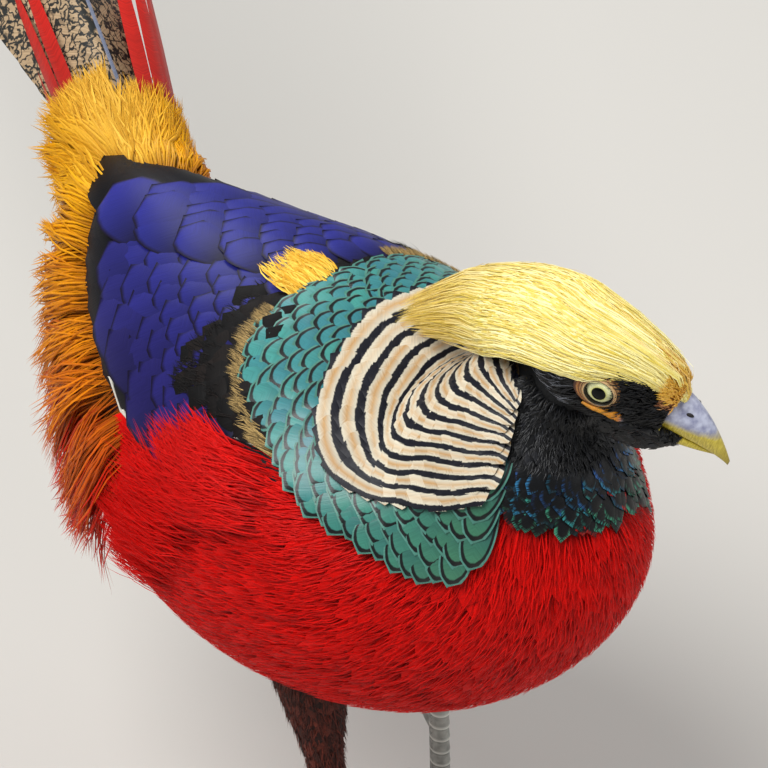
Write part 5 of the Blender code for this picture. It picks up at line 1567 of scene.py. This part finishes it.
# %% Nostrils and the corners of the mouth
nostril_dark = finish("dark inside of the nostril", 0.7, Base_Color="#140d0c")[0]
for side, sign in SIDES:
    bpy.ops.object.select_all(action="DESELECT")
    bpy.ops.mesh.primitive_uv_sphere_add(segments=20, ring_count=12, radius=1.0)
    slit = bpy.context.object
    slit.name = slit.data.name = f"nostril_{side}"
    points = np.array([v.co for v in slit.data.vertices]) * (0.0015, 0.0006, 0.0006)
    placed = on_head(0.0249 + points[:, 0], sign * 0.0034 + points[:, 1], points[:, 2] + 0.15 * points[:, 0])
    slit.data.vertices.foreach_set("co", placed.astype(np.float32).ravel())
    slit.data.materials.append(nostril_dark)
    bpy.ops.object.shade_smooth()
    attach(slit, "root")
    t, turn = np.linspace(0, 1, 12)[:, None], full_turn(17)
    forward = 0.0138 + 0.0060 * t
    out = 0.0078 - 0.0015 * t + 0.0006 * np.cos(turn) * (0.3 + t)
    up = -0.0088 + 0.0013 * t + 0.0009 * np.sin(turn) * (0.25 + 0.75 * t)
    corner = wrapped_grid(f"gape_{side}", on_head(forward + 0 * turn, sign * out, up))
    for key, value in (("edge", 1.0), ("along", 0.4)):
        store(corner, key, np.full(len(corner.data.vertices), value))
    corner.data.materials.append(horn)
    bpy.ops.object.shade_smooth()
    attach(corner, "root")

# %% [markdown]
# ## Legs and feet
# The shanks are bare, with a row of overlapping plates down the front and small round scales
# behind. Each plate's lower edge stands out a little over the next. The profile of the shank
# carries these steps, so they show in outline too, and pale bands mark the edges of the plates.

# %% Scaled skin
leg_skin, tree, shader = finish("grey scaled shank skin", 0.48, Coat_Weight=0.08, Coat_Roughness=0.35)
plate = put(tree, "attribute", attribute_name="plate")
front = put(tree, "attribute", attribute_name="front")
place = put(tree, "object place")
scales, cloud = put(tree, "cells", place, 700.0), put(tree, "noise", place, 300.0, 4.0)
skin_grey = put(tree, "mix", put(tree, "remap", cloud, 0.3, 0.7), "#71716c", "#a3a39b")
back_side = put(tree, "remap", front, 0.2, 0.5, 1.0, 0.0)
seam = put(tree, "times", put(tree, "remap", scales, 0.0, 0.10, 0.75, 0.0), back_side)
colour = put(tree, "mix", seam, skin_grey, "#3d3d39")
colour = put(tree, "mix", put(tree, "remap", plate, 0.72, 0.92), colour, "#d9d8cf")
colour = put(tree, "mix", put(tree, "remap", plate, 0.0, 0.10, 0.8, 0.0), colour, "#33332f")
tree.links.new(colour, shader.inputs["Base Color"])
tree.links.new(put(tree, "bump", 0.6, 0.0004, put(tree, "times", scales, back_side)), shader.inputs["Normal"])
SHANK_HALF_WIDTH, SHANK_HALF_DEPTH, PLATES = 0.0031, 0.0039, 16


def scaled_tube(centre, half, deep, axes, plates, count=28):
    """A tube along centre with overlapping plates on its front; axes are left and front."""
    rows = len(centre)
    turn = full_turn(count + 1) + np.zeros((rows, 1))
    facing = np.clip(np.sin(turn), 0, 1) ** 0.5
    phase = np.linspace(0, plates, rows)[:, None] % 1.0
    raised = 0.00045 * phase**1.5 * facing
    left, front = axes
    points = centre[:, None] + left[:, None] * ((half[:, None] + raised) * np.cos(turn))[..., None]
    points = points + front[:, None] * ((deep[:, None] + raised) * np.sin(turn))[..., None]
    return points, phase + 0 * turn, facing


def leg_piece(name, points, phase, facing, floor=None):
    """A wrapped grid with the plates' pattern stored on its points."""
    if floor is not None:
        points = points.copy()
        points[..., 2] = np.maximum(points[..., 2], floor)
    made = wrapped_grid(name, points, plate=phase, front=facing)
    made.data.materials.append(leg_skin)
    bpy.ops.object.select_all(action="DESELECT")
    made.select_set(True)
    bpy.context.view_layer.objects.active = made
    bpy.ops.object.shade_smooth_by_angle(angle=math.radians(50))
    return made


# %% [markdown]
# ## Shanks, toes and claws
# Each shank is a tube from the heel joint to the foot, with a spur behind it. Toes are the same kind
# of tube, thicker at each joint, and the claws are curved horns of their own, since horn is harder,
# darker and smoother than skin. Every piece rests on the floor where the real foot would carry weight.

# %% Shanks, toes and claws
TOES = {"inner": (-38, 0.030), "middle": (0, 0.041), "outer": (36, 0.033), "hind": (176, 0.015)}
TOE_RADIUS, CLAW_LENGTH, CLAW_RADIUS, FOOT_HEIGHT = 0.0034, 0.0095, 0.0019, 0.0075
FOOT_PAD = (  # radius, height
    (0.0052, 0.0), (0.0061, 0.0008), (0.0063, 0.003), (0.0056, 0.0055), (0.0047, 0.0075), (0.0030, 0.0092),
)
claw_horn, tree, shader = finish("dark claw horn", 0.35, Coat_Weight=0.2, Coat_Roughness=0.25)
cloud = put(tree, "remap", put(tree, "noise", put(tree, "object place"), 500.0, 3.0), 0.3, 0.7)
tree.links.new(put(tree, "mix", cloud, "#1f1a15", "#5b4d3c"), shader.inputs["Base Color"])
for side, leg in LEGS.items():
    knee, heel, foot = (np.array(p) + SHIFT for p in leg)
    t = np.linspace(-0.06, 1.0, 130)
    down, left, back = limb_axes(heel, foot)
    front = back if back[1] < 0 else -back
    swell = 1 + 0.30 * np.exp(-((t / 0.09) ** 2)) + 0.25 * np.maximum(t - 0.85, 0) / 0.15
    centre = heel + (foot - heel) * t[:, None]
    axes = (np.tile(left, (130, 1)), np.tile(front, (130, 1)))
    half, deep = SHANK_HALF_WIDTH * swell - 0.0002, SHANK_HALF_DEPTH * swell - 0.0002
    shank = leg_piece(f"shank_{side}_scaled", *scaled_tube(centre, half, deep, axes, PLATES))
    spur_root = heel + (foot - heel) * 0.62 - front * SHANK_HALF_DEPTH * 0.5
    t, turn = np.linspace(0, 1, 16)[:, None], full_turn(15)
    path = spur_root - front * 0.0095 * t + np.array((0, 0, 0.0025)) * t**1.5
    radius = 0.0021 * (1 - t) ** 0.8 + 0.0002
    points = path[:, None] + left * (radius * np.cos(turn))[..., None]
    points = points + down * (radius * np.sin(turn))[..., None]
    spur = leg_piece(f"spur_{side}", points, 0 * turn + 0.4 + 0 * t, 0 * turn + 1.0 + 0 * t)
    shank = joined([shank, spur], f"shank_{side}_scaled")
    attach(shank, "root")
    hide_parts(f"shank_{side}")
    pieces = []
    for toe, (turned, length) in TOES.items():
        angle = math.radians(-turned if side == "right" else turned)
        way = np.array((math.sin(angle), -math.cos(angle), 0.0))
        across = np.array((-way[1], way[0], 0.0))
        t = np.linspace(0, 1, 72)
        radius = TOE_RADIUS * (1 - 0.42 * t) * (1 + 0.08 * np.cos(3 * 2 * np.pi * t))
        height = TOE_RADIUS * (1 - 0.42 * t) * 0.80 + (FOOT_HEIGHT - TOE_RADIUS) * (1 - t) ** 3
        centre = np.stack((foot[0] + way[0] * length * t, foot[1] + way[1] * length * t, height), 1)
        axes = (np.tile(across, (72, 1)), np.tile((0.0, 0, 1.0), (72, 1)))
        plates = int(length / 0.0026)
        scaled = scaled_tube(centre, radius, radius, axes, plates, 20)
        pieces.append(leg_piece(f"toe_{toe}", *scaled, floor=0.0))
        t = np.linspace(0, 1, 18)
        radius = (CLAW_RADIUS * (1 - t) ** 0.8 + 0.0003)[:, None]
        height = 0.0024 + 0.0014 * np.sin(np.pi * t) - 0.0021 * t * t
        centre = np.stack((foot[0] + way[0] * (length - 0.0008 + CLAW_LENGTH * t),
                           foot[1] + way[1] * (length - 0.0008 + CLAW_LENGTH * t), height), 1)
        turn = full_turn(15)
        points = centre[:, None] + across * (radius * 0.8 * np.cos(turn))[..., None]
        points = points + np.array((0, 0, 1.0)) * (radius * np.sin(turn))[..., None]
        points[..., 2] = np.maximum(points[..., 2], 0.0)
        claw = wrapped_grid(f"claw_{side}_{toe}_horn", points)
        claw.data.materials.append(claw_horn)
        bpy.ops.object.shade_smooth()
        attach(claw, "root")
        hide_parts(f"claw_{side}_{toe}")
    turn = full_turn(29)
    radius, height = (np.array(v)[:, None] for v in zip(*FOOT_PAD))
    ball = np.stack((foot[0] + radius * np.cos(turn), foot[1] + radius * np.sin(turn), height + 0 * turn), -1)
    pieces.append(leg_piece(f"pad_{side}", ball, 0 * ball[..., 0] + 0.4, 0 * ball[..., 0]))
    foot_piece = joined(pieces, f"foot_{side}_scaled")
    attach(foot_piece, "root")
    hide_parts(f"foot_{side}")

# %% [markdown]
# ## Thighs
# The thighs carry short, rusty brown feathers down to the heel joint. They follow the leg's own
# surface, so the same tract function is used with the thigh as its form.

# %% Thigh feathers
def rusty(tree, barb):
    return put(tree, "mix", barb["tone"], "#230d09", "#5c2418")


rusty_finish = plumage("rusty thigh barbs", 0.6, rusty, shade=0.4, Specular_IOR_Level=0.2)
for side in LEGS:
    form = thigh(side)
    root_a, root_b = shingles(form, np.arange(-0.6, 3.9, 0.16), lambda s: 0.0, lambda s: 360.0, 0.0035)
    a, b = combed(form, root_a, root_b, 10, (0.007, 0.010))
    vanes = lay(f"thigh_feathers_{side}", form, a, b, 0.0045, (-0.0015, 0.0, 0.0006, 0.0010), rusty_finish,
                blunt=0.35, rows=5, tilt=0.0002)
    root_a, root_b = shingles(form, np.arange(-0.6, 4.0, 0.09), lambda s: 0.0, lambda s: 360.0, 0.0016)
    a, b = combed(form, root_a, root_b, 12, (0.005, 0.009))
    fine = lay(f"thigh_barbs_{side}", form, a, b, 0.0005, (-0.0006, 0.0006, 0.0012, 0.0016), rusty_finish,
               rows=3, **STRAND, wave=0.0006, jitter=0.0004)

# %% [markdown]
# ## Camera, floor and light
# The photograph looks down on the bird from its front right with a long lens. The same place, lens
# and aim are set here, so the model can be compared with it. A plain pale floor and large soft lamps
# show the form without hard shadows, as in a museum's own pictures.

# %% Camera, floor and light
def aim(azimuth, elevation, distance, target, lens):
    """A camera that looks at target."""
    az, el = math.radians(azimuth), math.radians(elevation)
    back = Vector((math.sin(az) * math.cos(el), -math.cos(az) * math.cos(el), math.sin(el)))
    bpy.ops.object.camera_add(location=Vector(target) + back * distance)
    camera = bpy.context.object
    camera.rotation_euler = back.to_track_quat("Z", "Y").to_euler()
    camera.data.lens, camera.data.sensor_width = lens, 36.0
    return camera


target = np.array((-0.0266, -0.0819, 0.2595)) + SHIFT
bpy.context.scene.camera = aim(-33, 38, 1.650, target, 278.9)

bpy.ops.mesh.primitive_plane_add(size=14)
floor = bpy.context.object
floor.name = "floor"
floor.data.materials.append(finish("plain pale floor", 0.8, Base_Color="#c9c5be")[0])
floor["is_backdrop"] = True


def softbox(name, place, size, power):
    bpy.ops.object.light_add(type="AREA", location=place)
    lamp = bpy.context.object
    lamp.name = name
    lamp.data.shape, lamp.data.size, lamp.data.energy = "DISK", size, power
    lamp.rotation_euler = (Vector(place) - Vector((0, -0.05, 0.2))).to_track_quat("Z", "Y").to_euler()


softbox("key light", (-1.2, -0.6, 2.2), 1.4, 56)
softbox("fill light", (1.6, -1.6, 1.4), 1.6, 16)
softbox("rim light", (0.6, 1.8, 1.8), 1.2, 25)
world = bpy.data.worlds.new("studio")
world.use_nodes = True
background = world.node_tree.nodes["Background"]
background.inputs[0].default_value, background.inputs[1].default_value = (0.9, 0.95, 1.0, 1.0), 0.36
bpy.context.scene.world = world
bpy.context.scene.view_settings.view_transform = "Standard"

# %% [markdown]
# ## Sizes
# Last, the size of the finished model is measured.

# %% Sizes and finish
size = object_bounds()
